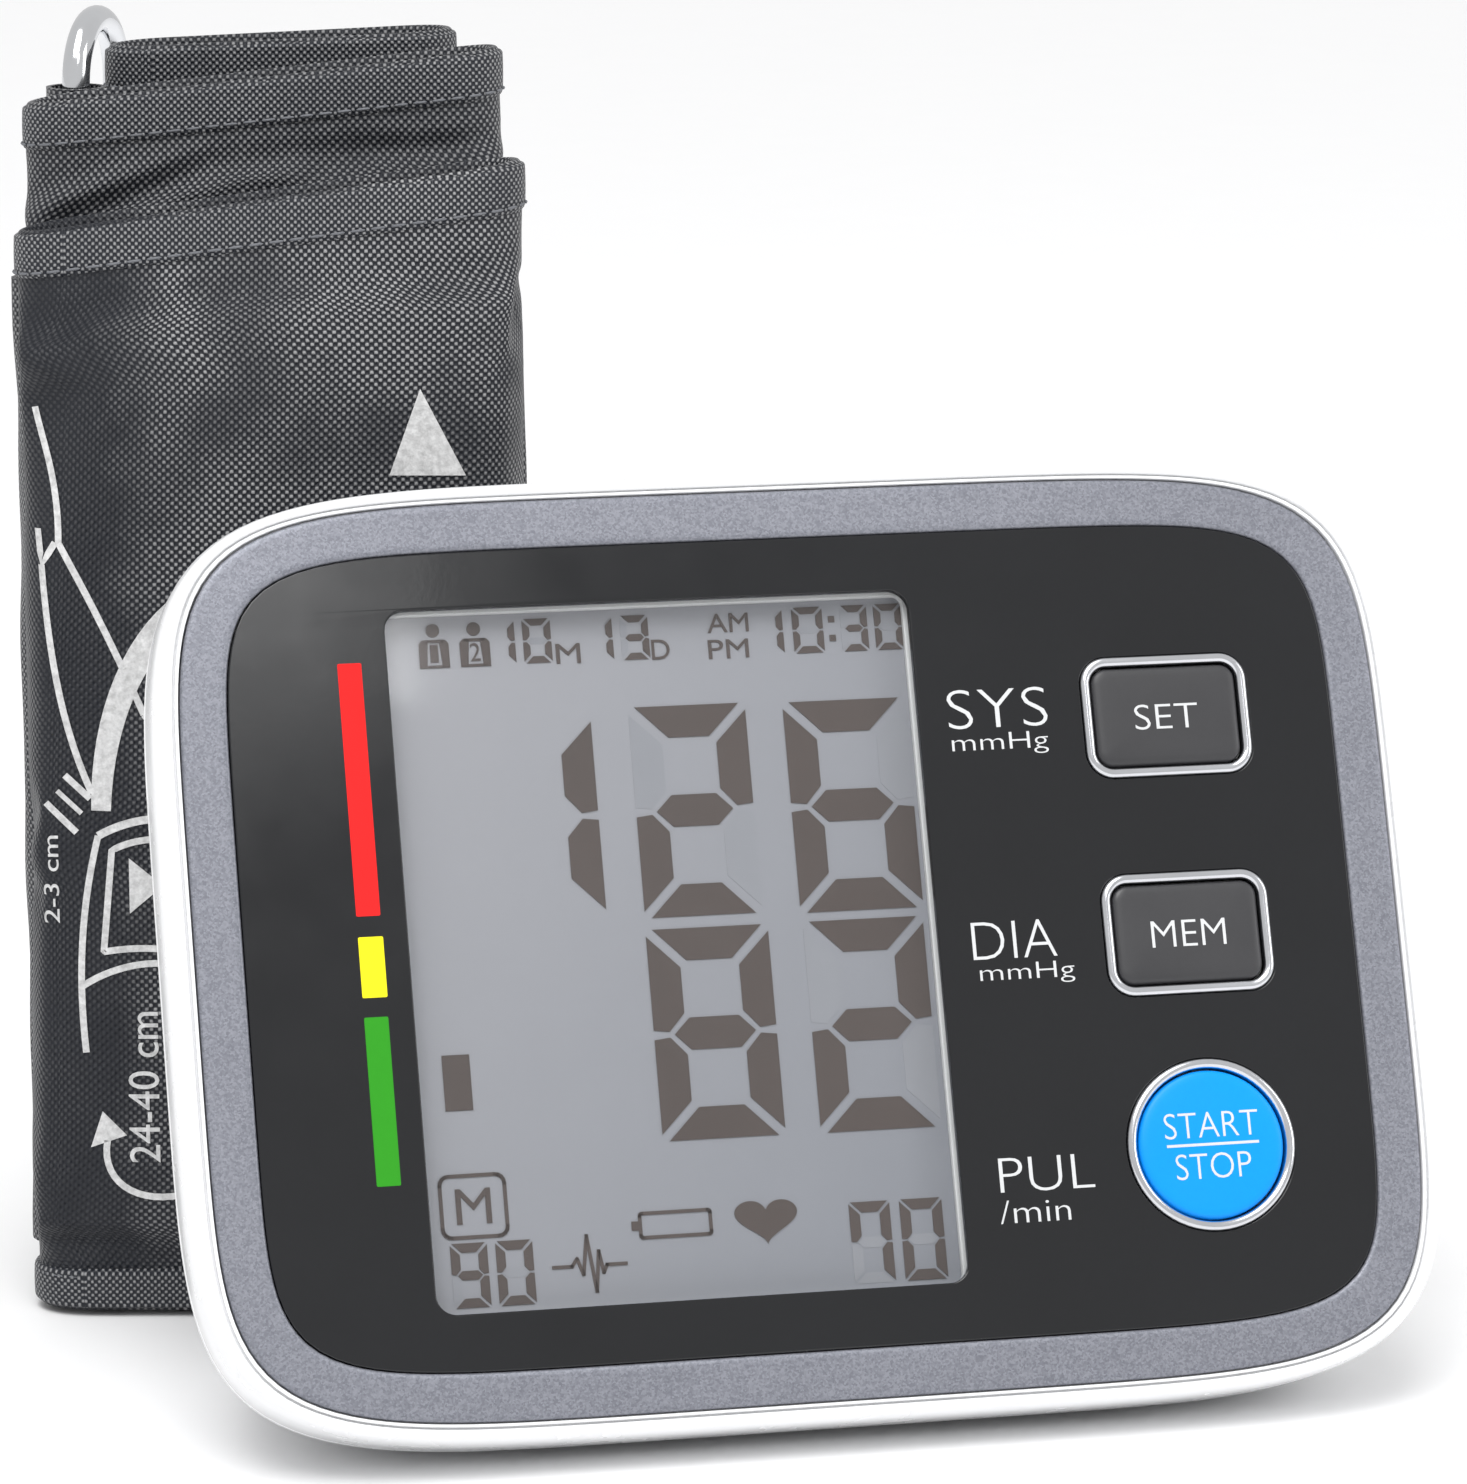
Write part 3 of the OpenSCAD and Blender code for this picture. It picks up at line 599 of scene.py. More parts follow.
def keys():
    profile = [
        (0, -1.2), (0, -0.1), (-0.07, 0.12), (-0.25, 0.29), (-0.5, 0.35), (-0.75, 0.31),
        (-0.98, 0.15), (-1.08, -0.1), (-1.1, -1.2),
    ]
    verts, faces = [], []
    for key in KEYS:
        more, polys = loft([key_outline(key, g, z) for g, z in profile], closed=True)
        faces += [tuple(len(verts) + i for i in p) for p in polys]
        verts += more
    finish_piece(
        solid("key_rings", verts, faces, FACE, 60), CHROME, "monitor", ["button_rings"]
    )
    cap = [
        (-0.3, -3.9), (-0.3, -3.35), (-1.3, -3.3), (-1.3, -0.45), (-1.36, -0.2), (-1.52, -0.02), (-1.8, 0.08),
        (-2.3, 0.13), (-3.2, 0.17), (-4.4, 0.19), (-5.6, 0.2),
    ]
    caps = (("set", KEY_GREY, "key_grey"), ("mem", KEY_GREY, "key_grey"), ("start", KEY_BLUE, "key_blue"))
    for key, look, slot in caps:
        verts, faces = loft([key_outline(key, g, z) for g, z in cap])
        ob = solid(key + "_cap", verts, faces, FACE, 50)
        finish_piece(ob, look, key + "_key", [key + "_button"])
    marks = [("set", "SET", (38.7, 21.2, 45.9, 24.0)), ("mem", "MEM", (38.2, -3.0, 46.6, -0.1))]
    for key, text, box in marks:
        ob = join(key + "_word", [word_mesh(text, box, *CAP_PRINT, FACE, 0.012)])
        finish_piece(ob, PRINT, key + "_key")
    start = [
        word_mesh("START", (37.5, -24.1, 48.1, -21.3), *CAP_PRINT, FACE, 0.012),
        word_mesh("STOP", (38.4, -28.6, 46.9, -25.8), *CAP_PRINT, FACE, 0.012),
    ]
    line = bpy.data.meshes.new("line")
    verts, faces = prisms([[(37.6, -25.0), (48.0, -25.0), (48.0, -24.7), (37.6, -24.7)]], *CAP_PRINT)
    line.from_pydata(verts, [], faces)
    line.transform(FACE)
    finish_piece(join("start_word", start + [line]), PRINT, "start_key")


def face_prints():
    bars = [
        ("red", RED, (-49.0, 5, -46.4, 32.5)),
        ("yellow", YELLOW, (-49.0, -3.8, -46.3, 2.75)),
        ("green", GREEN, (-49.0, -24, -46.4, -5.9)),
    ]
    for name, look, (x0, y0, x1, y1) in bars:
        shape = flat(round_box(x1 - x0, y1 - y0, 0.15, 0, ((x0 + x1) / 2, (y0 + y1) / 2), 2))
        ob = solid(name + "_bar", *prisms([shape], *PANEL_PRINT), FACE)
        finish_piece(ob, look, "monitor")
    words = [
        ("SYS", (17.75, 22.25, 28.95, 26.6), 0.018), ("mmHg", (17.9, 19.2, 28.75, 21.7), 0.012),
        ("DIA", (18.1, -3.25, 27.5, 0.85), 0.018), ("mmHg", (18.65, -6.2, 29.25, -3.8), 0.012),
        ("PUL", (18.7, -28.75, 29.25, -25.0), 0.018), ("/min", (18.4, -32.1, 26.25, -29.6), 0.012),
    ]
    meshes = [word_mesh(text, box, *PANEL_PRINT, FACE, thin) for text, box, thin in words]
    finish_piece(join("panel_words", meshes), PRINT, "monitor")


# ---------------------------------------------------------------- display figures
FIGURES = {
    "0": "abcdef", "1": "bc", "2": "abged", "3": "abgcd",
    "6": "afgedc", "7": "abcf", "8": "abcdefg", "9": "abcdfg",
}


def bars_of(box, w, gap):
    """The seven mitred bars of one figure."""
    x0, y0, x1, y1 = box
    ym, h, g = (y0 + y1) / 2, w / 2, gap
    k = 0.7 * g

    def upright(xo, xi, ylow, yhigh, low_mid):
        # the outer edge at xo, the inner edge at xi; the end at the middle bar is blunt
        if low_mid:
            return [
                (xo, ylow + k), (xo, yhigh - g), (xi, yhigh - g - w),
                (xi, ylow + h + k), ((xo + xi) / 2, ylow + k * 0.6),
            ]
        return [
            (xo, yhigh - k), (xo, ylow + g), (xi, ylow + g + w),
            (xi, yhigh - h - k), ((xo + xi) / 2, yhigh - k * 0.6),
        ]

    return {
        "a": [(x0 + g, y1), (x1 - g, y1), (x1 - g - w, y1 - w), (x0 + g + w, y1 - w)],
        "d": [(x0 + g, y0), (x1 - g, y0), (x1 - g - w, y0 + w), (x0 + g + w, y0 + w)],
        "g": [
            (x0 + h + k, ym), (x0 + w + k, ym + h), (x1 - w - k, ym + h),
            (x1 - h - k, ym), (x1 - w - k, ym - h), (x0 + w + k, ym - h),
        ],
        "f": upright(x0, x0 + w, ym, y1, True),
        "b": upright(x1, x1 - w, ym, y1, True),
        "e": upright(x0, x0 + w, y0, ym, False),
        "c": upright(x1, x1 - w, y0, ym, False),
    }


def stroke(points, w):
    """A run of thin boxes along a line."""
    shapes = []
    for (xa, ya), (xb, yb) in zip(points, points[1:]):
        d = hypot(xb - xa, yb - ya)
        nx, ny = (ya - yb) / d * w / 2, (xb - xa) / d * w / 2
        ex, ey = (xb - xa) / d * w * 0.4, (yb - ya) / d * w * 0.4
        shapes.append([
            (xa - ex + nx, ya - ey + ny), (xb + ex + nx, yb + ey + ny),
            (xb + ex - nx, yb + ey - ny), (xa - ex - nx, ya - ey - ny),
        ])
    return shapes


def ring_stroke(ring, w):
    pts = flat(ring)
    return stroke(pts + pts[:1], w)


def display_figures():
    big = [
        ("1", (-34.3, 4.2, -21.3, 26.3)), ("2", (-17.1, 3.7, -4.1, 26.9)), ("6", (0.1, 3.4, 13.8, 26.7)),
        ("8", (-17.2, -20.6, -3.7, 2.4)), ("2", (0.2, -20.7, 13.6, 2.4)),
    ]
    small = [
        ("9", (-41.2, -37.1, -37.2, -30.2), 1.0), ("0", (-36.3, -37.1, -32.3, -30.2), 1.0),
        ("7", (2.5, -37.2, 7.0, -28.4), 1.15), ("0", (8.1, -37.2, 12.8, -28.4), 1.15),
        ("1", (-31.9, 32.3, -28.9, 37.2), 0.75), ("0", (-28.0, 32.3, -24.9, 37.2), 0.75),
        ("1", (-21.0, 32.2, -18.1, 37.1), 0.75), ("3", (-17.2, 32.2, -14.1, 37.1), 0.75),
        ("1", (-3.2, 32.1, 0.9, 37.2), 0.75), ("0", (2.0, 32.1, 5.4, 37.2), 0.75),
        ("3", (7.4, 32.1, 10.4, 37.2), 0.75), ("0", (11.2, 32.1, 14.3, 37.2), 0.75),
    ]
    sized = [(figure, bars_of(box, 3.5, 0.75)) for figure, box in big]
    sized += [(figure, bars_of(box, w, 0.22)) for figure, box, w in small]
    lit, unlit = [], []
    for figure, bars in sized:
        for bar, shape in bars.items():
            if bar in FIGURES[figure]:
                lit.append(shape)
            elif figure != "1":
                unlit.append(shape)
    # colon of the clock, the pump bar, the boxed letter's frame
    lit += [[(x, y), (x + 0.7, y), (x + 0.7, y + 0.7), (x, y + 0.7)] for x, y in ((6.05, 35.4), (6.05, 33.3))]
    lit.append([(-40.5, -16.0), (-37.5, -16.0), (-37.5, -10.0), (-40.5, -10.0)])
    lit += ring_stroke(round_box(7.0, 6.6, 1.0, 0, (-38.3, -26.3), 4), 0.4)
    # pulse line
    beat = [
        (-30.2, -33.4), (-28.2, -33.4), (-27.6, -32.6), (-27.0, -34.3), (-26.4, -30.2),
        (-25.7, -36.2), (-25.2, -31.9), (-24.8, -34.2), (-24.4, -33.4), (-22.3, -33.4),
    ]
    lit += stroke(beat, 0.38)
    # battery outline with its cap
    lit += ring_stroke(round_box(7.7, 2.6, 0.3, 0, (-16.6, -29.5), 3), 0.38)
    lit.append([(-21.4, -30.0), (-20.6, -30.0), (-20.6, -29.0), (-21.4, -29.0)])
    # heart
    heart = []
    for i in range(48):
        t = 2 * pi * i / 48
        x, y = 16 * sin(t) ** 3, 13 * cos(t) - 5 * cos(2 * t) - 2 * cos(3 * t) - cos(4 * t)
        heart.append((-6.65 + x * 3.45 / 16, -29.5 + y * 4.7 / 29))
    lit.append(heart)
    # two users: a round head over a coat, with a number on it
    for cx in (-37.85, -33.35):
        lit.append(circle(cx, 36.35, 0.75, 20))
        half_coat = [(-1.65, 32.2), (-0.85, 32.2), (-0.6, 35.3), (-1.25, 35.3), (-1.65, 34.9)]
        lit += [[(cx + x * side, y) for x, y in half_coat[::side]] for side in (1, -1)]
        lit += stroke([(cx - 1.0, 35.15), (cx + 1.0, 35.15)], 0.35)
        lit += stroke([(cx - 1.0, 32.35), (cx + 1.0, 32.35)], 0.3)
    finish_piece(solid("display_figures", *prisms(lit, *DISPLAY_INK), FACE), INK, "monitor")
    finish_piece(solid("display_unlit", *prisms(unlit, *DISPLAY_GHOST), FACE), GHOST, "monitor")
    words = [
        ("M", (-40.2, -28.2, -36.4, -24.4)), ("M", (-24.5, 32.1, -21.8, 34.3)),
        ("D", (-13.9, 32.1, -11.9, 34.3)),
        ("AM", (-7.5, 34.8, -2.9, 36.9)), ("PM", (-7.6, 31.9, -3.1, 34.0)),
        ("1", (-38.3, 32.8, -37.4, 34.8)), ("2", (-33.9, 32.8, -32.8, 34.8)),
    ]
    meshes = [word_mesh(text, box, *DISPLAY_INK, FACE) for text, box in words]
    finish_piece(join("display_letters", meshes), INK, "monitor")


# ---------------------------------------------------------------- monitor back
def rear_body():
    """Tapers from the rim to the flat back, with softened back edges."""
    steps = 300
    to_monitor = MONITOR.inverted() @ FACE
    front = [to_monitor @ Vector(p) for p in egg(69.05, 51.85, 6, -9.0, steps)]
    lip = [to_monitor @ Vector(p) for p in egg(69.25, 52.02, 6, -9.15, steps)]
    skirt = [to_monitor @ Vector(p) for p in egg(69.3, 52.06, 6, -9.5, steps)]
    base_ring = round_box_by_angle(120, 83, 14, steps)
    rings = [front, lip, skirt]
    back = [Vector((x, 28.2, BACK_MID_Z + z)) for x, z in base_ring]
    for k in range(1, 9):
        t = k / 9
        rings.append([a.lerp(b, t) for a, b in zip(skirt, back)])
    rings.append(back)
    for inset, y in ((0.25, 29.6), (0.8, 30.8), (1.7, 31.6), (2.9, 31.95), (3.6, 32.0)):
        small = round_box_by_angle(120 - 2 * inset, 83 - 2 * inset, 14 - inset, steps)
        rings.append([Vector((x, y, BACK_MID_Z + z)) for x, z in small])
    rings = [[(p[0], p[1], max(p[2], 1.0)) for p in ring] for ring in rings]
    inner = [
        [(p[0] * 0.965, p[1] - 1.8, BACK_MID_Z + (p[2] - BACK_MID_Z) * 0.955) for p in ring]
        for ring in (rings[-1], rings[11], rings[2], rings[0])
    ]
    inner[-1] = [(p[0] * 0.97, p[1] + 0.1, BACK_MID_Z + (p[2] - BACK_MID_Z) * 0.97) for p in rings[0]]
    verts, faces = loft(rings + inner, closed=True)
    ob = solid("rear_body", verts, faces, MONITOR, 38)
    socket = [(-80, y, z) for y, z in circle(17, 35, 5.05, 48)]
    jack = [(55, y, z) for y, z in ((8.9, 32.5), (18.1, 32.5), (18.1, 39.7), (8.9, 39.7))]
    for ring, length in ((socket, 22), (jack, 20)):
        cut_out(ob, [ring, [(x + length, y, z) for x, y, z in ring]])
    smooth(ob.data, 38)
    finish_piece(ob, WHITE, "monitor", ["rear_left", "rear_right", "rear_top", "rear_base"])
    return ob


def side_tab():
    """The thumb tab low on the left side."""
    tab = [
        [(x, y, z) for y, z in flat(round_box(4.5 - 2 * d, 2.7 - 2 * d, 0.7, 0, (9.25, 35.05), 4))]
        for x, d in ((-64, 0), (-66.5, 0), (-66.8, 0.2), (-66.9, 0.6))
    ]
    finish_piece(solid("side_tab", *loft(tab), MONITOR, 50), WHITE, "monitor")


def rear_panel():
    """The flat back, with the door's opening and the sound slots."""
    turn = MONITOR @ Matrix.Translation((0, 32, BACK_MID_Z)) @ Matrix.Rotation(pi / 2, 4, "X")
    edge = [(x, z, 0) for x, z in round_box_by_angle(120 - 7.1, 83 - 7.1, 10.5, 200)]
    door = [(DOOR_X - 30.0, 6.8), (DOOR_X + 30.0, 6.8), (DOOR_X + 30.0, 65.2), (DOOR_X - 30.0, 65.2)]
    holes = [[(x, z - BACK_MID_Z, 0) for x, z in door]]
    for i in range(5):
        holes.append(round_box(1.4, 7, 0.69, 0, (22.7 + 3 * i, 73.5 - BACK_MID_Z), 6))
    return plate("rear_panel", [edge] + holes, 0, 2, 0.3, turn)


def screw_holes(*pieces):
    """The case screws' holes, which run through the body's rounded edge too."""
    for x, z in [(s * x, z) for x, z in ((50, 7.5), (55, 75)) for s in (-1, 1)]:
        rim = circle(x, z, 3, 32)
        for piece in pieces:
            cut_out(piece, [[(a, y, b) for a, b in rim] for y in (40, 27.5)])
            smooth(piece.data, 38)


def round_box_by_angle(w, h, r, steps):
    """A rounded rectangle, sampled evenly by angle."""
    ring = []
    for i in range(steps):
        c, s = cos(2 * pi * i / steps), sin(2 * pi * i / steps)
        low, high = 0.0, hypot(w, h)
        for _ in range(30):
            mid = (low + high) / 2
            dx, dy = abs(mid * c) - (w / 2 - r), abs(mid * s) - (h / 2 - r)
            out = hypot(max(dx, 0), max(dy, 0)) + min(max(dx, dy), 0) - r
            low, high = (mid, high) if out < 0 else (low, mid)
        ring.append((low * c, low * s))
    return ring


case_front()
face_trim()
keys()
face_prints()
display_figures()
body = rear_body()
side_tab()
panel = rear_panel()
screw_holes(body, panel)
finish_piece(panel, WHITE, "monitor", ["rear_plate"])

KEPT = [  # node, finish, edge softening in mm
    ("window_lens", LENS, 0), ("lcd_glass", DISPLAY, 0), ("lcd_frame", FRAME, 0.15),
    ("backlight", DIFFUSER, 0.15), ("contact_strips", ELASTOMER, 0), ("main_board", CIRCUIT, 0.1),
    ("chips", CHIP, 0.15), ("tact_switches", CHIP, 0.1), ("pressure_sensor", INNER, 0.15),
    ("buzzer", CHIP, 0.15), ("board_screws", STEEL, 0), ("pump_motor", STEEL, 0.3),
    ("pump_head", INNER, 0.3), ("pump_cradle", RUBBER, 0.3), ("exhaust_valve", BRASS, 0.2),
    ("air_tubes", TUBE, 0), ("air_socket", INNER, 0.2), ("power_jack", CHIP, 0.2),
    ("battery_tray", INNER, 0.2), ("battery_cells", CELL, 0.25), ("battery_springs", STEEL, 0),
    ("battery_plates", STEEL, 0), ("battery_door", WHITE, 0.25), ("door_latch", WHITE, 0.2),
    ("case_screws", STEEL, 0.15), ("rubber_feet", RUBBER, 0.2), ("rating_plate", PLATE, 0.05),
    ("front_bladder", FILM, 0.5), ("back_bladder", FILM, 0.5), ("loop_patch", PILE, 0.1),
    ("hook_patch", PILE, 0.1), ("metal_bar", BAR, 0), ("hose_port", RUBBER, 0.2),
]
for node, look, bevel in KEPT:
    keep_node(node, look, bevel)


# ---------------------------------------------------------------- cuff
MOST_MOVE = 4.0  # mm that the simulated cloth may move


class Layer:
    """One padded turn of the folded cuff, in the cuff's own frame."""

    def __init__(self, name, body, x0, x1, y0, top, node, seed):
        self.name, self.body, self.x0, self.x1, self.y0 = name, body, x0, x1, y0
        self.top, self.node, self.seed = top, node, seed
        self.t = 13.5
        self.mid = y0 + self.t / 2

    def top_at(self, x):
        k = (x - self.x0) / (self.x1 - self.x0)
        return self.top[0] + (self.top[1] - self.top[0]) * k

    def half(self, v):
        """Half thickness at height fraction v: fuller in the middle, thin at the hems."""
        fullness = min(1, v / 0.1) * min(1, (1 - v) / 0.12)
        return 4.9 + 0.6 * fullness

    def ring(self, v, grow=0.0):
        """The outline at height fraction v, grown outward by grow."""
        h = self.half(v) + grow
        left, right = self.x0 + 5.6 + 0.25, self.x1 - 5.6 - 0.25
        ends = 5.6 + grow
        out = []
        for a, b, side in ((left, right, -1), (right, left, 1)):
            out += [(a + (b - a) * i / 20, self.mid + side * h) for i in range(20)]
            turn = [side * pi / 2 + pi * i / 9 for i in range(9)]
            out += [(b + ends * cos(t), self.mid + h * sin(t)) for t in turn]
        return [(x, y, 0.5 + v * (self.top_at(x) - 0.5)) for x, y in out]

    def rows(self):
        """Height fractions of the rings up the side, closer together at the hems."""
        low = [0.0, 0.012, 0.03]
        return low + [0.03 + 0.94 * i / 46 for i in range(1, 47)] + [0.985, 1.0]


def uv_faces(rings, faces):
    """Cloth UVs in metres: around the ring, then up."""
    n = len(rings[0])
    lengths = [0.0]
    for i in range(n):
        a, b = rings[len(rings) // 2][i], rings[len(rings) // 2][(i + 1) % n]
        lengths.append(lengths[-1] + hypot(a[0] - b[0], a[1] - b[1]))
    result = []
    for face in faces:
        if len(face) > 4:
            result.append([(rings[0][i % n][0] * 0.001, rings[0][i % n][1] * 0.001) for i in face])
            continue
        cols = [i % n for i in face]
        wrap = max(cols) - min(cols) > 1
        uvs = []
        for i in face:
            row, col = divmod(i, n)
            u = lengths[n] if wrap and col == 0 else lengths[col]
            uvs.append((u * 0.001, rings[row][col][2] * 0.001))
        result.append(uvs)
    return result


def cloth_mesh(name, rings, verts, faces):
    mesh = bpy.data.meshes.new(name)
    mesh.from_pydata([tuple(v) for v in verts], [], faces)
    uv = mesh.uv_layers.new(name="cloth")
    uv.data.foreach_set("uv", [c for face in uv_faces(rings, faces) for pair in face for c in pair])
    return mesh


def squeeze(ring, mid, d, dz):
    """The ring moved inward by d and down by dz, never past the middle line."""
    out = []
    n = len(ring)
    for i, (x, y, z) in enumerate(ring):
        a, b = ring[i - 1], ring[(i + 1) % n]
        tx, ty = b[0] - a[0], b[1] - a[1]
        length = hypot(tx, ty) or 1
        moved = y + tx / length * d
        moved = min(moved, mid - 0.05) if y < mid else max(moved, mid + 0.05)
        out.append((x - ty / length * d, moved, z + dz))
    return out


def crease(x, z, line):
    """Height of one soft fold along a line, from its table row."""
    xa, za, xb, zb, width, height = line
    dx, dz = xb - xa, zb - za
    length = hypot(dx, dz)
    along = ((x - xa) * dx + (z - za) * dz) / length
    off = ((z - za) * dx - (x - xa) * dz) / length
    off += 1.2 * noise.noise(Vector((along * 0.08, za * 0.1, 3.0)))
    ends = min(1, max(0, (along + 3) / 6)) * min(1, max(0, (length - along + 3) / 6))
    wave = exp(-((off / width) ** 2)) - 0.75 * exp(-(((off + 1.7 * width) / width) ** 2))
    return height * ends * wave


def swell(ob, held):
    """Blows the closed cloth up a little and keeps the settled shape."""
    group = ob.vertex_groups.new(name="held")
    for i, weight in enumerate(held):
        if weight > 0:
            group.add([i], weight, "REPLACE")
    made = ob.modifiers.new("cloth", "CLOTH")
    s = made.settings
    s.quality = 6
    s.mass = 0.15
    s.tension_stiffness = 12
    s.compression_stiffness = 8
    s.shear_stiffness = 5
    s.bending_stiffness = 0.4
    s.use_pressure = True
    s.uniform_pressure_force = 4.0
    s.vertex_group_mass = "held"
    s.shrink_min = -0.035
    s.effector_weights.gravity = 0
    made.collision_settings.use_collision = False
    made.collision_settings.use_self_collision = False
    for step in range(1, 21):
        scene.frame_set(step)
    shown = ob.evaluated_get(bpy.context.evaluated_depsgraph_get())
    settled = [v.co.copy() for v in shown.data.vertices]
    ob.modifiers.remove(made)
    ob.vertex_groups.clear()
    scene.frame_set(1)
    return settled


def blow_up(layer, ob, verts, n_rings, start):
    """Simulates the closed layer and keeps only a limited swelling.
    verts are its drawn points in mm, in n_rings rings, and its side rows begin at ring start."""
    n = len(verts) // n_rings
    rows = layer.rows()
    held = []
    for k in range(n_rings):
        v = rows[min(max(k - start, 0), len(rows) - 1)]
        edge = min(v / 0.045, (1 - v) / 0.05)
        weight = 1.0 if edge <= 1 else max(0.0, 1 - (edge - 1) / 0.8)
        held += [weight] * n
    settled = swell(ob, held)
    for k in range(start, start + len(rows)):
        # the sewn width stays: each row is drawn back out to its full span
        row = range(k * n, (k + 1) * n)
        low, high = min(settled[i].x for i in row), max(settled[i].x for i in row)
        for i in row:
            span = (settled[i].x - low) / (high - low)
            settled[i].x = (layer.x0 + 0.25 + (layer.x1 - layer.x0 - 0.5) * span) * 0.001
    for v, co, drawn in zip(ob.data.vertices, settled, verts):
        moved = co * 1000 - Vector(drawn)
        if moved.length > MOST_MOVE:
            moved *= MOST_MOVE / moved.length
        new = Vector(drawn) + moved
        new.y = min(max(new.y, layer.y0 + 0.2), layer.y0 + layer.t - 0.2)
        v.co = new * 0.001


def cuff_layer(layer, creases):
    rings = [squeeze(layer.ring(0), layer.mid, d, 0.0) for d in (4.6, 3.0, 1.4, 0.4)]
    start = len(rings)
    rings += [layer.ring(v) for v in layer.rows()]
    top = rings[-1]
    rolled_edge = (
        (0.45, 0.3), (0.95, 0.25), (1.35, -0.5), (1.7, -2.6), (2.4, -3.2),
        (3.0, -2.6), (3.3, -0.7), (3.9, -0.4), (4.4, -0.8), (4.75, -2.6),
    )
    for d, dz in rolled_edge:
        rings.append(squeeze(top, layer.mid, d, dz))
    verts, faces = loft(rings)
    mesh = cloth_mesh(layer.name, rings, verts, faces)
    mesh.transform(MM)
    ob = add_object(layer.name, mesh)
    blow_up(layer, ob, verts, len(rings), start)
    made = modify(ob, "finer", "SUBSURF", levels=2, render_levels=2)
    fine = shown_mesh(ob)
    ob.modifiers.remove(made)
    ob.data = fine
    fine.name = layer.name
    crumple(layer, fine, creases)
    fine.transform(CUFF_TURN)
    smooth(fine, 75)
    finish_piece(ob, NYLON_FRONT if layer is FRONT else NYLON, layer.body, [layer.node])
    return ob


def crumple(layer, fine, creases):
    """Soft unevenness all over, puckers at the hems, and the folds on the front."""
    normals = [v.normal.copy() for v in fine.vertices]
    for v, normal in zip(fine.vertices, normals):
        x, y, z = v.co * 1000
        edge = min(1, max(0, (z - 5) / 6)) * min(1, max(0, (layer.top_at(x) - 5.5 - z) / 5))
        side = 1 if y < layer.mid else -1
        soft = 0.55 * noise.noise(Vector((x * 0.045, y * 0.02 * side, z * 0.03 + layer.seed)))
        soft += 0.22 * noise.noise(Vector((x * 0.16, side * 4.0, z * 0.09 + layer.seed)))
        hem = exp(-max(0, layer.top_at(x) - 5 - z) / 5) + 0.7 * exp(-max(0, z - 5) / 4)
        pucker = 0.22 * hem * sin(x * 1.15 + 2.2 * noise.noise(Vector((x * 0.1, layer.seed, 0))))
        folds = sum(crease(x, z, line) for line in creases) if y < layer.mid else 0
        push = edge * (soft + pucker + folds)
        new = Vector((x, y, z)) + normal * push
        new.y = min(max(new.y, layer.y0 + 0.02), layer.y0 + layer.t - 0.02)
        v.co = new * 0.001


def hems(layer, *nodes):
    """The turned tape along the layer's top and bottom, and its stitching."""
    height = layer.top[0]

    def band(v_edge, v_end):
        # from the band's inner edge on the cloth, out over the layer's edge
        span = [(0.0, -0.35), (0.02, 0.05), (0.08, 0.24), (0.2, 0.3), (0.5, 0.33), (0.8, 0.3), (0.95, 0.26)]
        rings = []
        for k, grow in span:
            v = v_edge + (v_end - v_edge) * k
            rings.append(layer.ring(v, grow + 0.18))
        last = rings[-1]
        sign = 1 if v_end > v_edge else -1
        turned = ((0.0, 0.3), (0.25, 0.55), (0.7, 0.62), (1.15, 0.5), (1.5, 0.1), (1.65, -0.8), (1.2, -1.6))
        for d, dz in turned:
            rings.append(squeeze(last, layer.mid, d, sign * (dz - 0.2)))
        return rings

    tall = 5.1 / height
    meshes = []
    for rings in (band(1 - tall, 0.998), band(tall * 0.95, 0.006)):
        for ring in rings:
            for i, (x, y, z) in enumerate(ring):
                wob = 0.12 * noise.noise(Vector((x * 0.22, y * 0.2, z * 0.05 + layer.seed)))
                z = min(max(z, 0.02), layer.top_at(x) - 0.02)
                ring[i] = (x, y + (wob if y > layer.mid else -wob), z)
        verts, faces = loft(rings, ends=False)
        mesh = cloth_mesh("band", rings, verts, faces)
        mesh.transform(CUFF)
        meshes.append(mesh)
    ob = join(layer.name + "_hems", meshes)
    modify(ob, "cloth_thickness", "SOLIDIFY", thickness=0.00025, offset=-1)
    modify(ob, "finer", "SUBSURF", levels=1, render_levels=1)
    finish_piece(ob, TAPE, layer.body, nodes)
    # stitches
    verts, faces = [], []
    for v_line in (1 - tall * 0.86, tall * 0.82):
        path = layer.ring(v_line, 0.5)
        for (xa, ya, za), (xb, yb, zb) in zip(path, path[1:] + path[:1]):
            steps = max(1, round(hypot(xb - xa, yb - ya) / 2.4))
            for k in range(steps):
                t0, t1 = (k + 0.14) / steps, (k + 0.86) / steps
                a = Vector((xa + (xb - xa) * t0, ya + (yb - ya) * t0, za + (zb - za) * t0))
                b = Vector((xa + (xb - xa) * t1, ya + (yb - ya) * t1, za + (zb - za) * t1))
                capsule(a, b, 0.17, verts, faces)
    ob = solid(layer.name + "_stitches", verts, faces, CUFF, 80)
    finish_piece(ob, THREAD, layer.body)


def capsule(a, b, r, verts, faces):
    """A short round-ended thread from a to b."""
    along = (b - a).normalized()
    side = along.cross(Vector((0, 0, 1))).normalized()
    up = side.cross(along)
    start = len(verts)
    for t, k in ((0, 0.35), (0.15, 0.9), (0.5, 1.0), (0.85, 0.9), (1, 0.35)):
        p = a.lerp(b, t)
        for i in range(6):
            verts.append(p + (side * cos(i * pi / 3) + up * sin(i * pi / 3)) * r * k)
    for ring in range(4):
        for i in range(6):
            q = start + ring * 6
            faces.append((q + i, q + (i + 1) % 6, q + 6 + (i + 1) % 6, q + 6 + i))
    faces.append(tuple(start + i for i in range(6))[::-1])
    faces.append(tuple(start + 24 + i for i in range(6)))


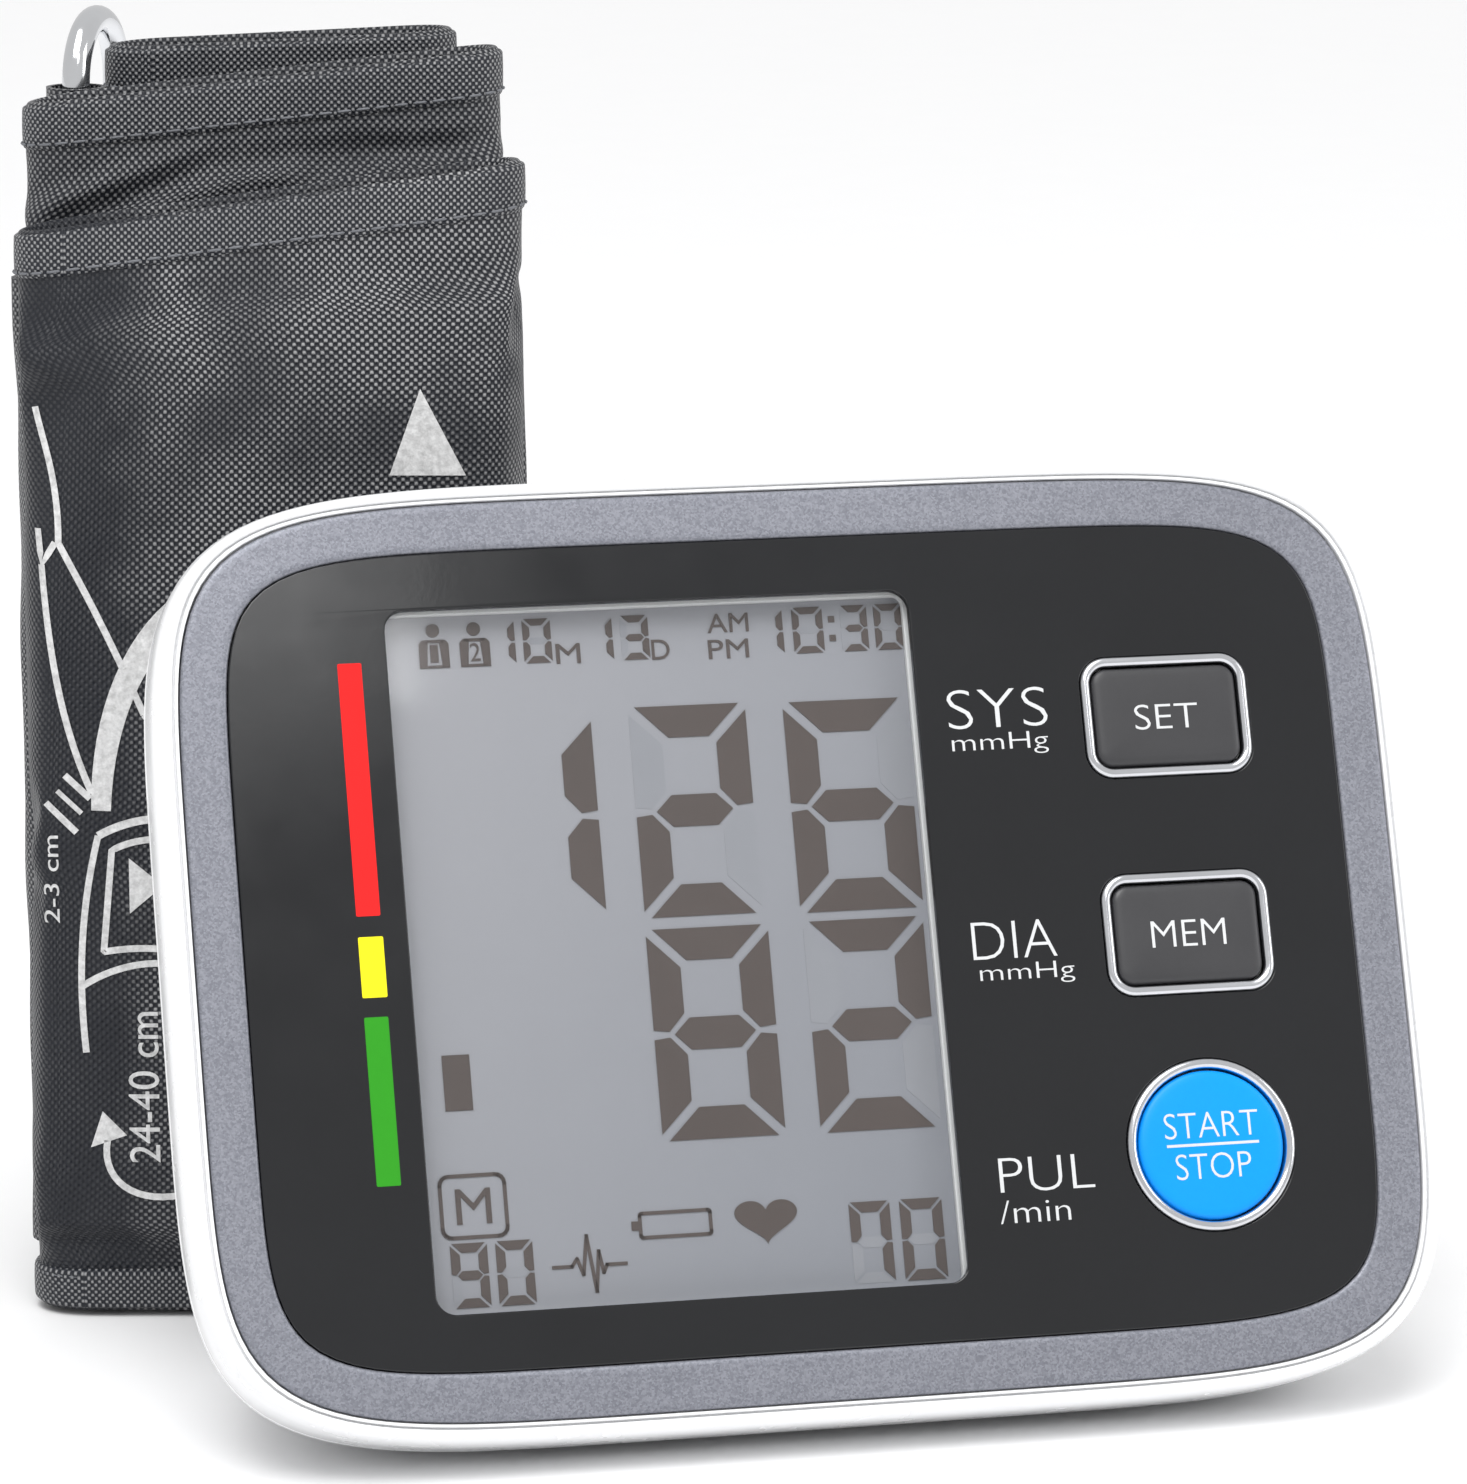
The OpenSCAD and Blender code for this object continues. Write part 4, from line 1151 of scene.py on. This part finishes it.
FRONT = Layer("cuff_front_layer", "cuff", -28.4, 28.4, 0.0, (124, 132), "cuff_front", 1.7)
MIDDLE = Layer("cuff_middle_layer", "cuff", -28.7, 25.5, 14.5, (136.6, 143), "cuff_middle", 5.1)
BACK = Layer("cuff_back_layer", "flap", -20.6, 19.7, 29.0, (141.6, 143.6), "cuff_back", 9.3)
CREASES = {
    "front": [(-22, 118, 20, 124, 2.4, 0.3), (10, 20, 24, 46, 4, 0.35)],
    "middle": [
        (-27, 117, 2, 129, 2.0, 1.3), (-27, 125, -6, 133.5, 1.5, 1.1), (-8, 123, 24, 131, 1.9, 1.2),
        (-2, 133, 23, 136, 1.3, 0.7), (-14, 116, 8, 121, 1.6, 0.8),
    ],
    "back": [(-17, 135, 4, 137.5, 1.5, 0.6), (0, 132, 16, 136, 1.6, 0.5)],
}
front_layer = cuff_layer(FRONT, CREASES["front"])
cuff_layer(MIDDLE, CREASES["middle"])
cuff_layer(BACK, CREASES["back"])
hems(FRONT, "front_bindings")
hems(MIDDLE)
hems(BACK, "back_bindings")


def ribbon(path, thickness, z0, z1, waves=0.0, seed=0.0):
    """A cloth strip standing along a plan path, from z0 to z1, as rings for loft."""
    rows = 40
    rings = []
    n = len(path)
    for k in range(rows + 1):
        z = z0 + (z1 - z0) * k / rows
        ring = []
        for side in (1, -1):
            order = range(n) if side == 1 else range(n - 1, -1, -1)
            for i in order:
                a, b = path[max(i - 1, 0)], path[min(i + 1, n - 1)]
                tx, ty = b[0] - a[0], b[1] - a[1]
                d = hypot(tx, ty)
                w = waves * noise.noise(Vector((i * 0.3, z * 0.07, seed)))
                off = side * thickness / 2 + w
                ring.append((path[i][0] - ty / d * off, path[i][1] + tx / d * off, z))
        rings.append(ring)
    return rings


def cloth_piece(name, rings, closed=False):
    verts, faces = loft(rings, closed)
    return solid(name, verts, faces, CUFF, 60, uv_faces(rings, faces))


# the turn of cloth that joins the front and middle layers at the left
turn = [(-24.5 - 4.6 * sin(pi * i / 12), 14.0 - 3.9 * cos(pi * i / 12)) for i in range(13)]
left_turn = cloth_piece("left_turn", ribbon(turn, 0.6, 6, 118, 0.5, 2.0))
finish_piece(left_turn, NYLON, "cuff", ["fold_webs"])
# the thin strip that the back layer opens on
FOLD_PATH = [
    (21.2, 25.6), (21.1, 26.4), (21.0, 27.1), (20.85, 27.8), (20.5, 28.4), (20.0, 28.85), (19.4, 29.25),
    (18.7, 29.7), (18.0, 30.2), (17.3, 30.8), (16.8, 31.5), (16.5, 32.2),
]
strip = cloth_piece("fold_strip", ribbon(FOLD_PATH, 0.5, 6, 134))
strip.data.materials.append(NYLON.material)
# the sleeve round the metal bar, sewn to the back layer's left edge
sleeve_rings = []
for k in range(53):
    z = 10 + 127.4 * k / 52
    ring = []
    for i in range(40):
        t = 2 * pi * i / 40
        r = 3.45 + 0.22 * noise.noise(Vector((cos(t) * 1.2, sin(t) * 1.2, z * 0.06)))
        ring.append((SLEEVE_X + r * cos(t), SLEEVE_Y + r * sin(t), z))
    sleeve_rings.append(ring)
inner = [[(x, y, z) for x, y in circle(SLEEVE_X, SLEEVE_Y, 2.9, 40)] for z in (137.4, 74, 10)]
sleeve = cloth_piece("sleeve", sleeve_rings + inner, closed=True)
finish_piece(sleeve, NYLON, "flap", ["bar_sleeve"])


# ---------------------------------------------------------------- cuff prints
def draped(name, outlines, layer_ob):
    """Thin printed shapes laid on the cuff's front, found by casting rays at it."""
    tree = BVHTree.FromObject(layer_ob, bpy.context.evaluated_depsgraph_get())
    aim = (CUFF.to_3x3() @ Vector((0, 1000, 0))).normalized()
    verts, faces = [], []
    for shape in outlines:
        start = len(verts)
        hits = []
        for x, z in shape["points"]:
            hit = None
            while hit is None:  # a point past the cloth's edge is drawn back onto it
                hit = tree.ray_cast(CUFF @ Vector((x, -30, z)), aim)[0]
                x += 0.2
            hits.append(hit - aim * 0.00012)
        verts += hits + [h + aim * 0.0003 for h in hits]
        n = len(hits)
        faces += [tuple(start + i for i in f) for f in shape["faces"]]
        faces += [tuple(start + n + i for i in f[::-1]) for f in shape["faces"]]
        rim = [start + i for i in shape["rim"]]
        faces += [(a, a + n, b + n, b) for a, b in zip(rim, rim[1:] + rim[:1])]
    mesh = bpy.data.meshes.new(name)
    mesh.from_pydata([tuple(v) for v in verts], [], faces)
    mend(mesh)
    smooth(mesh, 60)
    return finish_piece(add_object(name, mesh), CUFF_PRINT, "cuff")


def line_shape(points, width):
    """A ribbon along a line, cut into short quads."""
    dense = [Vector(points[0])]
    for a, b in zip(points, points[1:]):
        a, b = Vector(a), Vector(b)
        steps = max(1, int((b - a).length / 1.2))
        dense += [a.lerp(b, k / steps) for k in range(1, steps + 1)]
    n = len(dense)
    pts = []
    for i, p in enumerate(dense):
        a, b = dense[max(i - 1, 0)], dense[min(i + 1, n - 1)]
        d = (b - a).normalized()
        w = width[0] + (width[1] - width[0]) * i / (n - 1) if isinstance(width, tuple) else width
        pts += [(p.x - d.y * w / 2, p.y + d.x * w / 2), (p.x + d.y * w / 2, p.y - d.x * w / 2)]
    faces = [(2 * i, 2 * i + 1, 2 * i + 3, 2 * i + 2) for i in range(n - 1)]
    rim = [2 * i for i in range(n)] + [2 * i + 1 for i in range(n - 1, -1, -1)]
    return {"points": pts, "faces": faces, "rim": rim}


def fan(points):
    """A filled convex shape: rings shrinking to its middle."""
    n = len(points)
    cx, cy = sum(p[0] for p in points) / n, sum(p[1] for p in points) / n
    dense = []
    for a, b in zip(points, points[1:] + points[:1]):
        steps = max(1, int(hypot(b[0] - a[0], b[1] - a[1]) / 1.2))
        dense += [(a[0] + (b[0] - a[0]) * k / steps, a[1] + (b[1] - a[1]) * k / steps) for k in range(steps)]
    n = len(dense)
    pts, faces = list(dense), []
    levels = 4
    for level in range(1, levels):
        k = 1 - level / levels
        pts += [(cx + (x - cx) * k, cy + (y - cy) * k) for x, y in dense]
        a, b = (level - 1) * n, level * n
        faces += [(a + i, a + (i + 1) % n, b + (i + 1) % n, b + i) for i in range(n)]
    pts.append((cx, cy))
    b = (levels - 1) * n
    faces += [(b + i, b + (i + 1) % n, levels * n) for i in range(n)]
    return {"points": pts, "faces": faces, "rim": list(range(n))}


def bezier(a, b, c, d, steps=14):
    out = []
    for i in range(steps + 1):
        t = i / steps
        k = 1 - t
        out.append(tuple(
            k ** 3 * p + 3 * k * k * t * q + 3 * k * t * t * r + t ** 3 * s for p, q, r, s in zip(a, b, c, d)
        ))
    return out


def word_shapes(text, box, turn):
    """Lettering for the cuff, as loose faces."""
    mesh = word_mesh(text, box, 0, 1, Matrix.Identity(4), 0.0, turn)
    work = bmesh.new()
    work.from_mesh(mesh)
    spare = [f for f in work.faces if abs(f.normal.z) < 0.5 or f.calc_center_median().z < 0.5]
    bmesh.ops.delete(work, geom=spare, context="FACES")
    bmesh.ops.delete(work, geom=[v for v in work.verts if not v.link_faces], context="VERTS")
    work.verts.index_update()
    shapes = []
    for face in work.faces:
        pts = [(v.co.x, v.co.y) for v in face.verts]
        shapes.append({"points": pts, "faces": [tuple(range(len(pts)))], "rim": list(range(len(pts)))})
    work.free()
    return shapes


THIN = 0.75
prints = [
    fan([(16.9, 107.4), (13.4, 97.7), (21.9, 97.7)]),
    # an upper arm bent at the elbow
    line_shape(
        bezier((-26.1, 105), (-25.2, 101), (-23.4, 97), (-23.6, 90))
        + bezier((-23.6, 90), (-21, 85), (-17.5, 78), (-14.4, 70.5)), THIN,
    ),
    line_shape([(-26.0, 91.4), (-25.6, 87.4), (-24.0, 90.0)], THIN),
    line_shape(bezier((-25.6, 87.4), (-25.0, 79), (-24, 70), (-20.4, 61.5)), THIN),
    # the shoulder's curve
    line_shape(bezier((-10.5, 82), (-16, 77.5), (-19.2, 69), (-19.4, 59.5)), (3.4, 2.2)),
    line_shape([(-14.4, 70.5), (-11, 66.2)], THIN),
    # the wrapped band
    line_shape(bezier((-10.5, 58.6), (-14, 58.8), (-17, 58.2), (-19.8, 56.6)), 0.9),
    line_shape(bezier((-19.8, 56.6), (-22.0, 48), (-22.4, 40), (-21.6, 31.5)), THIN),
    line_shape(
        bezier((-10.5, 56.2), (-14, 56.4), (-16.4, 56), (-18.3, 54.9)) + [(-19.4, 43.2)]
        + bezier((-19.4, 43.2), (-16, 43.8), (-13, 43.6), (-10.5, 43.2)), THIN,
    ),
    line_shape(bezier((-21.9, 39.2), (-18, 41.8), (-14, 42.2), (-10.5, 41.6)), THIN),
    fan([(-16.4, 54.0), (-16.4, 47.6), (-12.6, 50.8)]),
    # a gap of two or three fingers, marked beside the elbow
    line_shape([(-23.4, 63.6), (-20.6, 60.9)], THIN), line_shape([(-25.6, 60.4), (-22.2, 57.0)], THIN),
    line_shape([(-24.3, 61.8), (-21.6, 59.2)], 0.55),
    # which way to wrap
    line_shape(bezier((-11, 14.8), (-16.5, 13.6), (-20.3, 16.5), (-19.4, 21.2)), THIN),
    fan([(-21.3, 20.4), (-17.2, 21.8), (-19.9, 24.6)]),
]
prints += word_shapes("24-40 cm", (-16.9, 18.6, -13.4, 36.2), pi / 2)
prints += word_shapes("2-3 cm", (-26.1, 46.5, -24.3, 56.6), pi / 2)
draped("front_prints", prints, front_layer)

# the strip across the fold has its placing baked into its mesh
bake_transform(strip)


# ---------------------------------------------------------------- floor
def floor():
    """A wide, pale, level floor."""
    mesh = bpy.data.meshes.new("floor")
    verts = [(x, y, -0.0001) for y in (-3.0, 3.0) for x in (-4.0, 4.0)]
    mesh.from_pydata(verts, [], [(0, 1, 3, 2)])
    ob = add_object("floor", mesh)
    look = surface("pale_floor", (0.88, 0.88, 0.885), 0.55, 0.004, 0.02, 300, 0.0)
    mesh.materials.append(look.material)


floor()
scene.frame_set(1)
